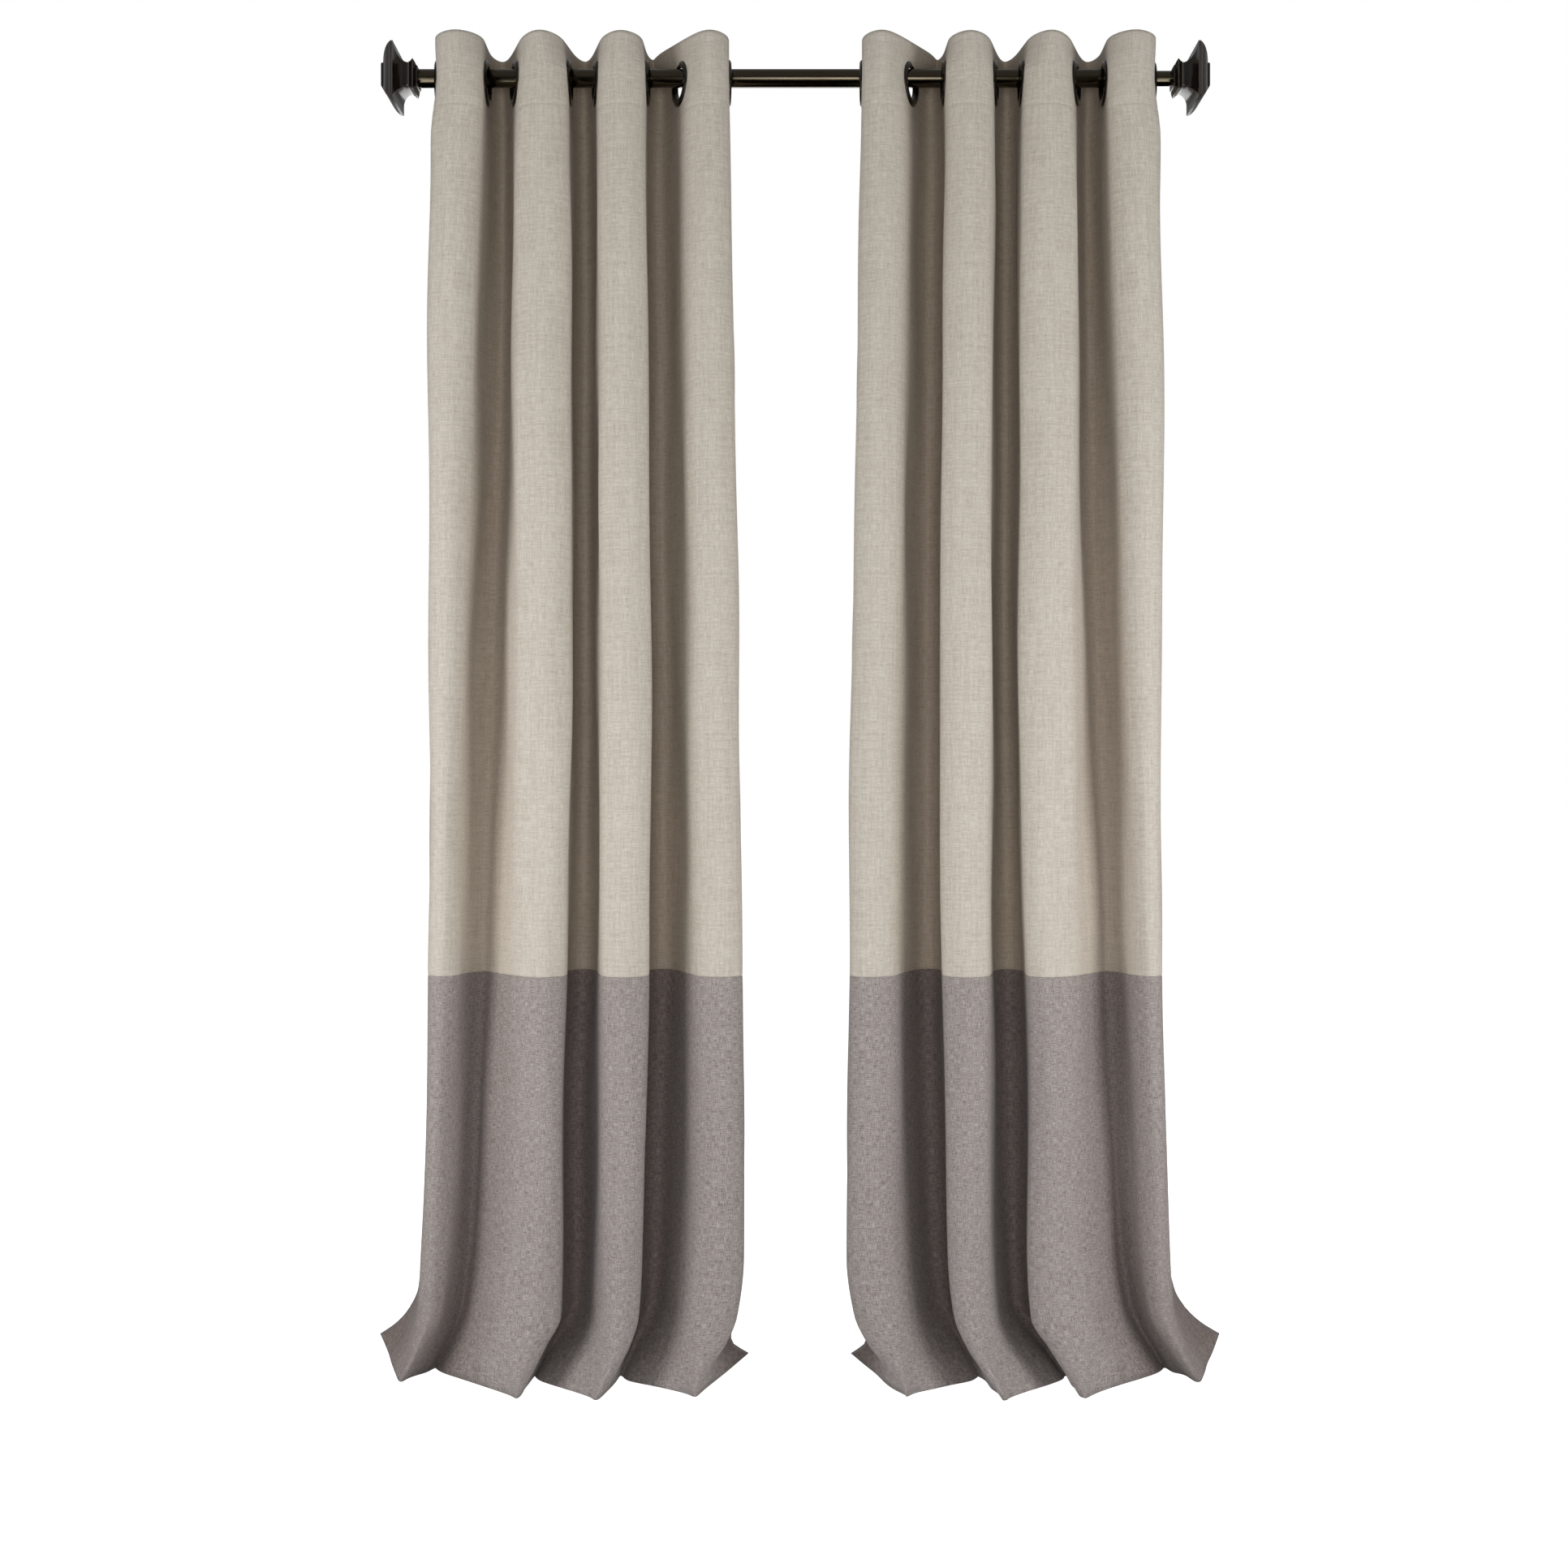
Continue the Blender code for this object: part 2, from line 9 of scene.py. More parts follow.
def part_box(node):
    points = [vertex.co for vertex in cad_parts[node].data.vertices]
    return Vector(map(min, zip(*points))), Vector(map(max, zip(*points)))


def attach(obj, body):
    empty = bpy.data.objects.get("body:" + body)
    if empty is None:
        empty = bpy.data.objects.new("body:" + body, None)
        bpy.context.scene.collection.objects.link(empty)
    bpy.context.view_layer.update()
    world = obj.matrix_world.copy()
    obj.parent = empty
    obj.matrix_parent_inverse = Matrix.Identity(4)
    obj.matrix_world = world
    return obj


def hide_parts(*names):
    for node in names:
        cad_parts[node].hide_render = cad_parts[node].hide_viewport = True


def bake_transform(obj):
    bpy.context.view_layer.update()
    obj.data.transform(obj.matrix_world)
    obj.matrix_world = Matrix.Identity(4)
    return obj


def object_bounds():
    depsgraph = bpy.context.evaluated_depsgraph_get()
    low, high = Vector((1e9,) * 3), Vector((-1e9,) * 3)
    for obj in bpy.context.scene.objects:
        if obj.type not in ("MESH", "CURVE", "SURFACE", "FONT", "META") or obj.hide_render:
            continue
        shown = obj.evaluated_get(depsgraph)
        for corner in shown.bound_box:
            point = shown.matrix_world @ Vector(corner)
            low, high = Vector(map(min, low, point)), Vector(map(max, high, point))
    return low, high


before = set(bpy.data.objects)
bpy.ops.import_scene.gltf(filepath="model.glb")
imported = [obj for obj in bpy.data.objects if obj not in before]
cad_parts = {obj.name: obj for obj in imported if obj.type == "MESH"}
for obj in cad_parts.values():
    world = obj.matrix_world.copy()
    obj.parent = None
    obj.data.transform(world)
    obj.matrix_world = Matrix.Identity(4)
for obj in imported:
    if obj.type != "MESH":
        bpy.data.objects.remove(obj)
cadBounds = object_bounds()

# where things are, read from the frame
floorZ = cadBounds[0][2]
tubeLow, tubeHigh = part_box("rod_outer_tube")
rodY = (tubeLow.y + tubeHigh.y) / 2
rodZ = (tubeLow.z + tubeHigh.z) / 2
plateLeft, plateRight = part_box("bracket_left_wall_plate"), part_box("bracket_right_wall_plate")
middleX = (plateLeft[0].x + plateRight[1].x) / 2
sides = {"left": -1, "right": 1}

# how many corners the frame's round pieces have
corners = {"tube": 24, "turned": 12}


def trueRadius(width, kind):
    # a round piece's radius, from the width of its box
    return width / 2 / math.cos(math.pi / corners[kind])


tubeRadius = trueRadius(tubeHigh.z - tubeLow.z, "tube")


def newObject(name, bm, material, body=None, smoothAngle=40):
    mesh = bpy.data.meshes.new(name)
    bm.to_mesh(mesh)
    bm.free()
    mesh.shade_smooth()
    mesh.set_sharp_from_angle(angle=math.radians(smoothAngle))
    obj = bpy.data.objects.new(name, mesh)
    bpy.context.scene.collection.objects.link(obj)
    mesh.materials.append(material)
    if body:
        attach(obj, body)
    return obj


def fitted(name, bm, material, body, node=None, smoothAngle=40):
    # a finished piece on its body, in its slot, standing in for its node
    obj = newObject(name, bm, material, body, smoothAngle)
    if node:
        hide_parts(node)
    return obj


def setMaterial(node, material):
    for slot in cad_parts[node].material_slots:
        slot.material = material


def along(direction):
    # turns local Z on to a direction
    return Vector(direction).to_track_quat("Z", "Y").to_matrix().to_4x4()


def spun(profile, steps, closed=True):
    # a bmesh turned about Z from (radius, height) points; closed joins the last to the first
    bm = bmesh.new()
    verts = [bm.verts.new((radius, 0, height)) for radius, height in profile]
    edges = [bm.edges.new(pair) for pair in zip(verts, verts[1:])]
    if closed:
        edges.append(bm.edges.new((verts[-1], verts[0])))
    bmesh.ops.spin(bm, geom=verts + edges, cent=(0, 0, 0), axis=(0, 0, 1),
                   angle=2 * math.pi, steps=steps, use_merge=True)
    bmesh.ops.remove_doubles(bm, verts=bm.verts, dist=1e-6)
    bmesh.ops.recalc_face_normals(bm, faces=bm.faces)
    return bm


def softened(bm, width, segments=2, sharper=30):
    # bevels every edge that turns more than the given angle
    limit = math.radians(sharper)
    edges = [edge for edge in bm.edges if edge.is_manifold and edge.calc_face_angle(0) > limit]
    bmesh.ops.bevel(bm, geom=edges, offset=width, segments=segments, profile=0.5,
                    affect="EDGES", material=-1, clamp_overlap=True)
    return bm


def moved(bm, matrix):
    bmesh.ops.transform(bm, matrix=matrix, verts=bm.verts)
    return bm


def nodePoints(name):
    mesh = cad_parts[name].data
    points = np.empty(len(mesh.vertices) * 3)
    mesh.vertices.foreach_get("co", points)
    return points.reshape(-1, 3)


def ringPlace(side, number):
    # centre and axis of a grommet, from its two CAD rings. The axis points out of the cloth's face
    front = nodePoints(f"grommet_{side}_{number}_front_ring")
    back = nodePoints(f"grommet_{side}_{number}_back_ring")
    both = np.vstack([front, back])
    centre = (both.min(axis=0) + both.max(axis=0)) / 2
    flat = front - front.mean(axis=0)
    axis = np.linalg.svd(flat, full_matrices=False)[2][2]
    if np.dot(axis, front.mean(axis=0) - back.mean(axis=0)) < 0:
        axis = -axis
    return Vector(centre), Vector(axis).normalized()


# materials

def nodeTools(tree):
    # short calls for adding a node and for wiring a value or a socket into an input
    def add(kind, **settings):
        node = tree.nodes.new(kind)
        for key, value in settings.items():
            setattr(node, key, value)
        return node

    def wire(source, target):
        if isinstance(source, bpy.types.NodeSocket):
            tree.links.new(source, target)
        else:
            target.default_value = source

    def maths(operation, a, b=0.0, c=0.0):
        node = add("ShaderNodeMath", operation=operation)
        for value, socket in zip((a, b, c), node.inputs):
            wire(value, socket)
        return node.outputs[0]

    return add, wire, maths


def setInputs(node, values):
    for label, value in values.items():
        node.inputs[label].default_value = value


def tinted(tree, amount, colour, tint):
    # a colour multiplied by a tint, as far as the amount says
    add, wire, _ = nodeTools(tree)
    mix = add("ShaderNodeMix", data_type="RGBA", blend_type="MULTIPLY")
    wire(amount, mix.inputs["Factor"])
    wire(colour, mix.inputs[6])
    mix.inputs[7].default_value = (*tint, 1)
    return mix.outputs[2]


def newGroup(name, inputs, outputs):
    group = bpy.data.node_groups.new(name, "ShaderNodeTree")
    for label, kind, value in inputs:
        socket = group.interface.new_socket(label, in_out="INPUT", socket_type=kind)
        socket.default_value = value
    for label, kind in outputs:
        group.interface.new_socket(label, in_out="OUTPUT", socket_type=kind)
    return group, group.nodes.new("NodeGroupInput"), group.nodes.new("NodeGroupOutput")


def makeWeaveGroup():
    # heathered linen on the cloth's own UV in metres: threads both ways, uneven in thickness and dye
    group, given, out = newGroup(
        "linenWeave",
        [("Thread width", "NodeSocketFloat", 0.001), ("Thread run", "NodeSocketFloat", 0.009)],
        [("Heather", "NodeSocketFloat"), ("Slubs", "NodeSocketFloat"), ("Height", "NodeSocketFloat")])
    add, wire, maths = nodeTools(group)
    uv = add("ShaderNodeUVMap", uv_map="cloth")
    split = add("ShaderNodeSeparateXYZ")
    wire(uv.outputs[0], split.inputs[0])
    width, run = given.outputs["Thread width"], given.outputs["Thread run"]

    def grain(sizeU, sizeV, detail):
        spot = add("ShaderNodeCombineXYZ")
        wire(maths("DIVIDE", split.outputs[0], sizeU), spot.inputs[0])
        wire(maths("DIVIDE", split.outputs[1], sizeV), spot.inputs[1])
        noise = add("ShaderNodeTexNoise", noise_dimensions="2D")
        wire(spot.outputs[0], noise.inputs["Vector"])
        setInputs(noise, {"Scale": 1, "Detail": detail})
        return noise.outputs["Fac"]

    weft = grain(run, width, 1.5)
    warp = grain(width, run, 1.5)
    flecks = grain(maths("MULTIPLY", width, 1.6), width, 1.0)
    threads = maths("MULTIPLY", maths("ADD", weft, warp), 0.36)
    heather = maths("ADD", threads, maths("MULTIPLY", flecks, 0.28))
    wide = grain(maths("MULTIPLY", run, 5), maths("MULTIPLY", width, 4), 2)
    tall = grain(maths("MULTIPLY", width, 5), maths("MULTIPLY", run, 6), 2)
    wire(heather, out.inputs["Heather"])
    wire(maths("MULTIPLY", maths("ADD", wide, tall), 0.5), out.inputs["Slubs"])
    wire(maths("MAXIMUM", weft, warp), out.inputs["Height"])
    return group


def makeWearAndHighlightGroup():
    # mottled darkening, fine scratches and lighter edge wear for the metal and plated pieces; on the finials
    # the light edges are partly painted highlight along the ridges
    group, given, out = newGroup(
        "edgeWearAndHighlightFinish",
        [("Base", "NodeSocketColor", (0.05, 0.04, 0.03, 1)),
         ("Edge wear and highlight", "NodeSocketColor", (0.2, 0.15, 0.1, 1)),
         ("Mottle size", "NodeSocketFloat", 0.02),
         ("Edge", "NodeSocketFloat", 0.5),
         ("Roughness", "NodeSocketFloat", 0.3)],
        [("Color", "NodeSocketColor"), ("Roughness", "NodeSocketFloat"), ("Height", "NodeSocketFloat")])
    add, wire, maths = nodeTools(group)
    spot = add("ShaderNodeTexCoord")
    mottle = add("ShaderNodeTexNoise")
    wire(spot.outputs["Object"], mottle.inputs["Vector"])
    wire(maths("DIVIDE", 1.0, given.outputs["Mottle size"]), mottle.inputs["Scale"])
    setInputs(mottle, {"Detail": 4})
    fine = add("ShaderNodeTexNoise")
    wire(spot.outputs["Object"], fine.inputs["Vector"])
    setInputs(fine, {"Scale": 900})
    # edges lighten towards the edge colour: edge wear, and on the finials also painted highlight
    geometry = add("ShaderNodeNewGeometry")
    edge = add("ShaderNodeMapRange")
    wire(geometry.outputs["Pointiness"], edge.inputs["Value"])
    setInputs(edge, {"From Min": 0.52, "From Max": 0.62})
    wearAndHighlight = maths("MULTIPLY", edge.outputs[0], given.outputs["Edge"])
    mix = add("ShaderNodeMix", data_type="RGBA")
    wire(wearAndHighlight, mix.inputs["Factor"])
    wire(given.outputs["Base"], mix.inputs[6])
    wire(given.outputs["Edge wear and highlight"], mix.inputs[7])
    amount = maths("MULTIPLY", mottle.outputs["Fac"], 0.6)
    wire(tinted(group, amount, mix.outputs[2], (0.55, 0.5, 0.45)), out.inputs["Color"])
    rough = maths("ADD", given.outputs["Roughness"], maths("MULTIPLY", mottle.outputs["Fac"], 0.1))
    wire(rough, out.inputs["Roughness"])
    wire(fine.outputs["Fac"], out.inputs["Height"])
    return group


weaveGroup = makeWeaveGroup()
wearAndHighlightGroup = makeWearAndHighlightGroup()


def clothMaterial(name, look):
    material = bpy.data.materials.new(name)
    material.use_nodes = True
    tree = material.node_tree
    add, wire, maths = nodeTools(tree)
    shader = tree.nodes["Principled BSDF"]
    weave = add("ShaderNodeGroup", node_tree=weaveGroup)
    setInputs(weave, {"Thread width": look["threadWidth"], "Thread run": look["threadRun"]})
    ramp = add("ShaderNodeValToRGB")
    wire(weave.outputs["Heather"], ramp.inputs["Fac"])
    stops = ramp.color_ramp.elements
    stops[0].position, stops[0].color = 0.38, (*look["dark"], 1)
    stops[1].position, stops[1].color = 0.62, (*look["light"], 1)
    stops.new(0.5).color = (*look["body"], 1)
    slubs = maths("MULTIPLY", maths("SUBTRACT", weave.outputs["Slubs"], 0.4), look["slubDepth"])
    slubbed = tinted(tree, maths("MAXIMUM", slubs, 0.0), ramp.outputs["Color"], (0.55, 0.5, 0.45))
    # painted shade: the colour is made deeper and warmer down in the folds, where light reaches only off
    # other cloth
    paintedShadeNode = add("ShaderNodeAttribute", attribute_name="paintedFoldShade")
    depth = maths("MULTIPLY", paintedShadeNode.outputs["Fac"], look["foldShadeStrength"])
    wire(tinted(tree, depth, slubbed, look["foldShadeColour"]), shader.inputs["Base Color"])
    setInputs(shader, {"Roughness": look["roughness"], "Sheen Weight": look["sheen"],
                       "Sheen Roughness": 0.45, "Specular IOR Level": 0.25})
    bump = add("ShaderNodeBump")
    setInputs(bump, {"Strength": look["bump"], "Distance": 0.0004})
    wire(weave.outputs["Height"], bump.inputs["Height"])
    wire(bump.outputs[0], shader.inputs["Normal"])
    return material


def hardMaterial(name, look):
    material = bpy.data.materials.new(name)
    material.use_nodes = True
    tree = material.node_tree
    add, wire, _ = nodeTools(tree)
    shader = tree.nodes["Principled BSDF"]
    wearAndHighlight = add("ShaderNodeGroup", node_tree=wearAndHighlightGroup)
    setInputs(wearAndHighlight, {"Base": (*look["base"], 1), "Edge wear and highlight": (*look["edgeWearAndHighlight"], 1),
                     "Mottle size": look["mottle"], "Edge": look["edge"], "Roughness": look["roughness"]})
    wire(wearAndHighlight.outputs["Color"], shader.inputs["Base Color"])
    wire(wearAndHighlight.outputs["Roughness"], shader.inputs["Roughness"])
    setInputs(shader, {"Metallic": look["metallic"], "Coat Weight": look["coat"], "Coat Roughness": 0.12})
    bump = add("ShaderNodeBump")
    setInputs(bump, {"Strength": look["bump"], "Distance": 0.0001})
    wire(wearAndHighlight.outputs["Height"], bump.inputs["Height"])
    wire(bump.outputs[0], shader.inputs["Normal"])
    return material


# the fold entries set how strong the painted shade in the folds is, and its colour
naturalLinen = clothMaterial("naturalLinen", {
    "body": (0.585, 0.54, 0.47), "light": (0.655, 0.615, 0.55), "dark": (0.485, 0.435, 0.365),
    "threadWidth": 0.0009, "threadRun": 0.014, "slubDepth": 1.0,
    "foldShadeStrength": 0.52, "foldShadeColour": (0.42, 0.3, 0.19), "roughness": 0.8, "sheen": 0.12, "bump": 0.35})
taupeLinen = clothMaterial("taupeLinen", {
    "body": (0.335, 0.298, 0.285), "light": (0.47, 0.435, 0.42), "dark": (0.2, 0.172, 0.162),
    "threadWidth": 0.0009, "threadRun": 0.011, "slubDepth": 1.0,
    "foldShadeStrength": 0.62, "foldShadeColour": (0.27, 0.19, 0.16), "roughness": 0.8, "sheen": 0.12, "bump": 0.4})
naturalThread = clothMaterial("naturalThread", {
    "body": (0.52, 0.49, 0.43), "light": (0.6, 0.57, 0.51), "dark": (0.4, 0.37, 0.31),
    "threadWidth": 0.0004, "threadRun": 0.003, "slubDepth": 0.3,
    "foldShadeStrength": 0.6, "foldShadeColour": (0.42, 0.32, 0.235), "roughness": 0.6, "sheen": 0.1, "bump": 0.3})
taupeThread = clothMaterial("taupeThread", {
    "body": (0.33, 0.30, 0.29), "light": (0.40, 0.37, 0.36), "dark": (0.2, 0.18, 0.17),
    "threadWidth": 0.0004, "threadRun": 0.003, "slubDepth": 0.3,
    "foldShadeStrength": 0.6, "foldShadeColour": (0.36, 0.27, 0.235), "roughness": 0.6, "sheen": 0.1, "bump": 0.3})
rodBronze = hardMaterial("rodBronze", {
    "base": (0.078, 0.064, 0.04), "edgeWearAndHighlight": (0.15, 0.12, 0.075), "mottle": 0.05, "edge": 0.3,
    "roughness": 0.16, "metallic": 1.0, "coat": 0.3, "bump": 0.04})
# the finials' light edge colour is partly edge wear, partly painted highlight along their ridges
finialBronze = hardMaterial("finialBronze", {
    "base": (0.018, 0.013, 0.010), "edgeWearAndHighlight": (0.36, 0.33, 0.30), "mottle": 0.02, "edge": 0.8,
    "roughness": 0.2, "metallic": 0.6, "coat": 0.6, "bump": 0.03})
eyeletBronze = hardMaterial("eyeletBronze", {
    "base": (0.016, 0.011, 0.007), "edgeWearAndHighlight": (0.1, 0.07, 0.04), "mottle": 0.012, "edge": 0.3,
    "roughness": 0.18, "metallic": 0.7, "coat": 0.5, "bump": 0.03})
bracketBronze = hardMaterial("bracketBronze", {
    "base": (0.07, 0.056, 0.036), "edgeWearAndHighlight": (0.22, 0.17, 0.11), "mottle": 0.015, "edge": 0.7,
    "roughness": 0.38, "metallic": 0.9, "coat": 0.1, "bump": 0.3})
zincSteel = hardMaterial("zincSteel", {
    "base": (0.56, 0.55, 0.52), "edgeWearAndHighlight": (0.75, 0.74, 0.72), "mottle": 0.004, "edge": 0.5,
    "roughness": 0.3, "metallic": 1.0, "coat": 0.0, "bump": 0.1})
blackNylon = hardMaterial("blackNylon", {
    "base": (0.02, 0.02, 0.02), "edgeWearAndHighlight": (0.07, 0.07, 0.07), "mottle": 0.006, "edge": 0.5,
    "roughness": 0.5, "metallic": 0.0, "coat": 0.0, "bump": 0.4})
print("materials made")


# cloth

# Fold plans, one per height above the floor, for one panel. The eight flanks are listed from the
# outer edge inwards, as distances from the rod's middle where they meet the crests in front and the
# valleys behind. crests and backs are depths in front of the rod: four crests, then the outer edge,
# the three valleys and the inner edge. edges and lift are the two edges' distance and rise.
topLevel = {
    "share": 0.36, "crestRound": 0.020, "edges": (0.572, 0.112),
    "front": (0.563, 0.488, 0.424, 0.367, 0.300, 0.2405, 0.162, 0.1035),
    "back": (0.567, 0.4875, 0.456, 0.352, 0.325, 0.237, 0.221, 0.108),
    "crests": (0.060, 0.059, 0.058, 0.059), "backs": (-0.080, -0.064, -0.063, -0.056, -0.080)}
ringDepths = {"crests": (0.059, 0.059, 0.058, 0.058), "backs": (-0.080, -0.066, -0.068, -0.068, -0.080)}
foldLevels = [
    {"height": 1.945, "edges": (0.580, 0.108),
     "front": (0.5685, 0.490, 0.432, 0.353, 0.306, 0.234, 0.167, 0.1015),
     "back": (0.579, 0.486, 0.455, 0.356, 0.322, 0.238, 0.200, 0.107),
     "crests": (0.057, 0.058, 0.058, 0.057), "backs": (-0.083, -0.066, -0.069, -0.069, -0.083)},
    {"height": 1.64, "edges": (0.584, 0.104),
     "front": (0.5725, 0.502, 0.435, 0.349, 0.303, 0.229, 0.162, 0.0955),
     "back": (0.580, 0.492, 0.456, 0.356, 0.321, 0.238, 0.196, 0.102),
     "crests": (0.055, 0.058, 0.058, 0.056), "backs": (-0.083, -0.061, -0.069, -0.069, -0.083)},
    {"height": 1.13, "edges": (0.584, 0.096),
     "front": (0.571, 0.519, 0.431, 0.348, 0.302, 0.224, 0.155, 0.0875),
     "back": (0.580, 0.507, 0.463, 0.356, 0.320, 0.234, 0.191, 0.094),
     "crests": (0.050, 0.058, 0.058, 0.056), "backs": (-0.083, -0.046, -0.068, -0.069, -0.083)},
    {"height": 0.645, "edges": (0.585, 0.091),
     "front": (0.572, 0.531, 0.428, 0.357, 0.300, 0.227, 0.150, 0.082),
     "back": (0.582, 0.516, 0.478, 0.364, 0.320, 0.238, 0.190, 0.090),
     "crests": (0.045, 0.057, 0.058, 0.055), "backs": (-0.082, -0.028, -0.064, -0.068, -0.083)},
    {"height": 0.36, "edges": (0.592, 0.087),
     "front": (0.580, 0.541, 0.427, 0.364, 0.298, 0.233, 0.150, 0.078),
     "back": (0.588, 0.525, 0.492, 0.371, 0.325, 0.244, 0.194, 0.087),
     "crests": (0.041, 0.059, 0.059, 0.055), "backs": (-0.082, -0.025, -0.060, -0.066, -0.083)},
    {"height": 0.20, "edges": (0.600, 0.089),
     "front": (0.586, 0.548, 0.436, 0.362, 0.297, 0.236, 0.158, 0.080),
     "back": (0.596, 0.534, 0.505, 0.370, 0.330, 0.247, 0.202, 0.088),
     "crests": (0.037, 0.063, 0.063, 0.057), "backs": (-0.082, -0.031, -0.058, -0.064, -0.084)},
    {"height": 0.11, "edges": (0.612, 0.096), "lift": (0.010, 0),
     "front": (0.590, 0.556, 0.446, 0.363, 0.297, 0.242, 0.166, 0.091),
     "back": (0.604, 0.545, 0.520, 0.371, 0.334, 0.251, 0.212, 0.096),
     "crests": (0.031, 0.069, 0.071, 0.061), "backs": (-0.082, -0.037, -0.056, -0.060, -0.085)},
    {"height": 0.07, "edges": (0.627, 0.101), "lift": (0.019, 0),
     "front": (0.598, 0.573, 0.448, 0.384, 0.300, 0.255, 0.169, 0.108),
     "back": (0.616, 0.556, 0.535, 0.388, 0.352, 0.264, 0.226, 0.106),
     "crests": (0.026, 0.075, 0.079, 0.067), "backs": (-0.083, -0.041, -0.050, -0.050, -0.086)},
    {"height": 0.035, "edges": (0.646, 0.104), "lift": (0.032, 0.002),
     "front": (0.610, 0.592, 0.444, 0.404, 0.306, 0.277, 0.167, 0.133),
     "back": (0.632, 0.572, 0.553, 0.402, 0.384, 0.272, 0.250, 0.116),
     "crests": (0.020, 0.084, 0.089, 0.075), "backs": (-0.083, -0.046, -0.034, -0.034, -0.089)},
    {"height": 0.0, "edges": (0.676, 0.0735), "lift": (0.046, 0.011),
     "front": (0.628, 0.614, 0.431, 0.423, 0.312, 0.301, 0.161, 0.149),
     "back": (0.655, 0.588, 0.572, 0.418, 0.411, 0.281, 0.273, 0.090),
     "crests": (0.014, 0.092, 0.099, 0.084), "backs": (-0.084, -0.052, -0.012, -0.012, -0.094)},
]

# metres; a crest's or valley's round is how far short of it the flanks' straight runs end
cloth = {
    "thickness": 0.0013,
    "flatWidth": 1.27,  # a 50 inch panel
    "flatHalf": 0.046,  # half the straight run of a flank at the rings
    "flatInner": 0.024,  # the same for a flank's two inner guide points there
    "share": 0.26,  # where a flank's two inner guide points lie, from either end
    "crestRound": 0.012,
    "valleyRound": 0.018,
    "edgeRun": 0.030,  # the same at the two edges
    "headerBelowRings": 0.010,
    "headerHem": 0.112,
    "bottomHem": 0.073,
    "hemRaise": 0.0022,
    "sideHem": 0.030,
    "hemThickness": 0.001,
    "hemGap": 0.0001,  # air between a folded-in hem and its sheet, and under the stitches
    "holeGap": 0.0006,
    "neckRadius": 0.026,
    "litDepth": 0.047,  # painted shade deepens from here backwards
    "shadeDepth": 0.1,
    "measuredAt": 1.2,  # the height at which the width across the folds is measured
    # the right panel's hem lies a little further out than a true mirror of the left
    "rightDrift": ((0.20, 0.0), (0.11, 0.003), (0.07, 0.007), (0.035, 0.011), (0.0, 0.015)),
}
# small unevenness: waves over the sheet, puckers along two seams, dips under the stitches
swell = {
    "seed": {"left": 11, "right": 23}, "waves": 9, "width": (0.07, 0.3), "height": (0.3, 1.3),
    "phase": (0, 6.28), "depth": (0.0004, 0.0011), "fade": 0.15, "puckers": 5, "puckerWidth": (0.012, 0.03),
    "seamPucker": (0.012, 0.0007), "hemPucker": (0.008, 0.0004), "hemDip": 0.0006, "seamDip": 0.0007,
    "dipReach": 0.0022}
# columns of mesh in each span between two guide points
spanSteps = {"edge": 3, "corner": 5, "flank": 9, "crest": 6, "valley": 5}


def ringLevel(side):
    # the fold plan at the rings, where each flank is held flat between two rings
    sign = sides[side]
    half = cloth["flatHalf"]
    front, back = [], []
    for number in range(1, 9):
        centre, axis = ringPlace(side, number)
        offset = sign * (centre.x - middleX)
        forward = Vector((-axis.y, axis.x)).normalized()
        if forward.y > 0:
            forward.negate()
        front.append((offset + sign * forward.x * half, -forward.y * half, 0))
        back.append((offset - sign * forward.x * half, forward.y * half, 0))
    return {"height": centre.z - floorZ, "share": 0.5 - cloth["flatInner"] / half / 2,
            "frontPoints": front, "backPoints": back, "edges": topLevel["edges"],
            **ringDepths}


def flankEnds(level):
    # where each flank's straight run ends, in front and behind, as (distance, depth, rise)
    if "frontPoints" in level:
        return level["frontPoints"], level["backPoints"]
    crests, backs = level["crests"], level["backs"]
    crestRound = level.get("crestRound", cloth["crestRound"])
    front = [(x, crests[i // 2] - crestRound, 0) for i, x in enumerate(level["front"])]
    back = [(x, backs[(i + 1) // 2] + cloth["valleyRound"], 0) for i, x in enumerate(level["back"])]
    for end, rise in zip((0, 7), level["lift"]):
        x, depth, _ = back[end]
        back[end] = (x, depth - cloth["valleyRound"] + cloth["edgeRun"], rise / 2)
    return front, back


def guideRow(level):
    # one level's guide points: distance from the rod's middle, depth in front of it, rise
    front, back = (np.array(points, float) for points in flankEnds(level))
    share = level.get("share", cloth["share"])
    row = [(level["edges"][0], level["backs"][0], level["lift"][0])]
    for number in range(8):
        b, f = back[number], front[number]
        run = [b, b + (f - b) * share, f - (f - b) * share, f]
        rising = number % 2 == 0
        row += run if rising else run[::-1]
        if number == 7:
            break
        ends = front if rising else back
        reach = level["crests"][number // 2] if rising else level["backs"][(number + 1) // 2]
        middle = (ends[number] + ends[number + 1]) / 2
        # a B-spline passes its guide point at a third of the way to the neighbours' mean
        row.append((middle[0], 1.5 * reach - middle[1] / 2, 0))
    row.append((level["edges"][1], level["backs"][4], level["lift"][1]))
    return np.array(row)


def eased(heights, values, wanted):
    # smooth interpolation of values along heights (falling), without overshoot
    h, v = heights[::-1], values[::-1]
    slope = (v[1:] - v[:-1]) / (h[1:] - h[:-1])[:, None, None]
    tangents = np.zeros_like(v)
    same = slope[1:] * slope[:-1] > 0
    mean = 2 * slope[1:] * slope[:-1] / np.where(same, slope[1:] + slope[:-1], 1)
    tangents[1:-1] = np.where(same, mean, 0)
    tangents[0] = slope[0]
    at = np.clip(np.searchsorted(h, wanted) - 1, 0, len(h) - 2)
    width = (h[at + 1] - h[at])[:, None, None]
    t = np.clip((wanted - h[at]) / (h[at + 1] - h[at]), 0, 1)[:, None, None]
    return ((2 * t**3 - 3 * t**2 + 1) * v[at] + (t**3 - 2 * t**2 + t) * width * tangents[at]
            + (3 * t**2 - 2 * t**3) * v[at + 1] + (t**3 - t**2) * width * tangents[at + 1])


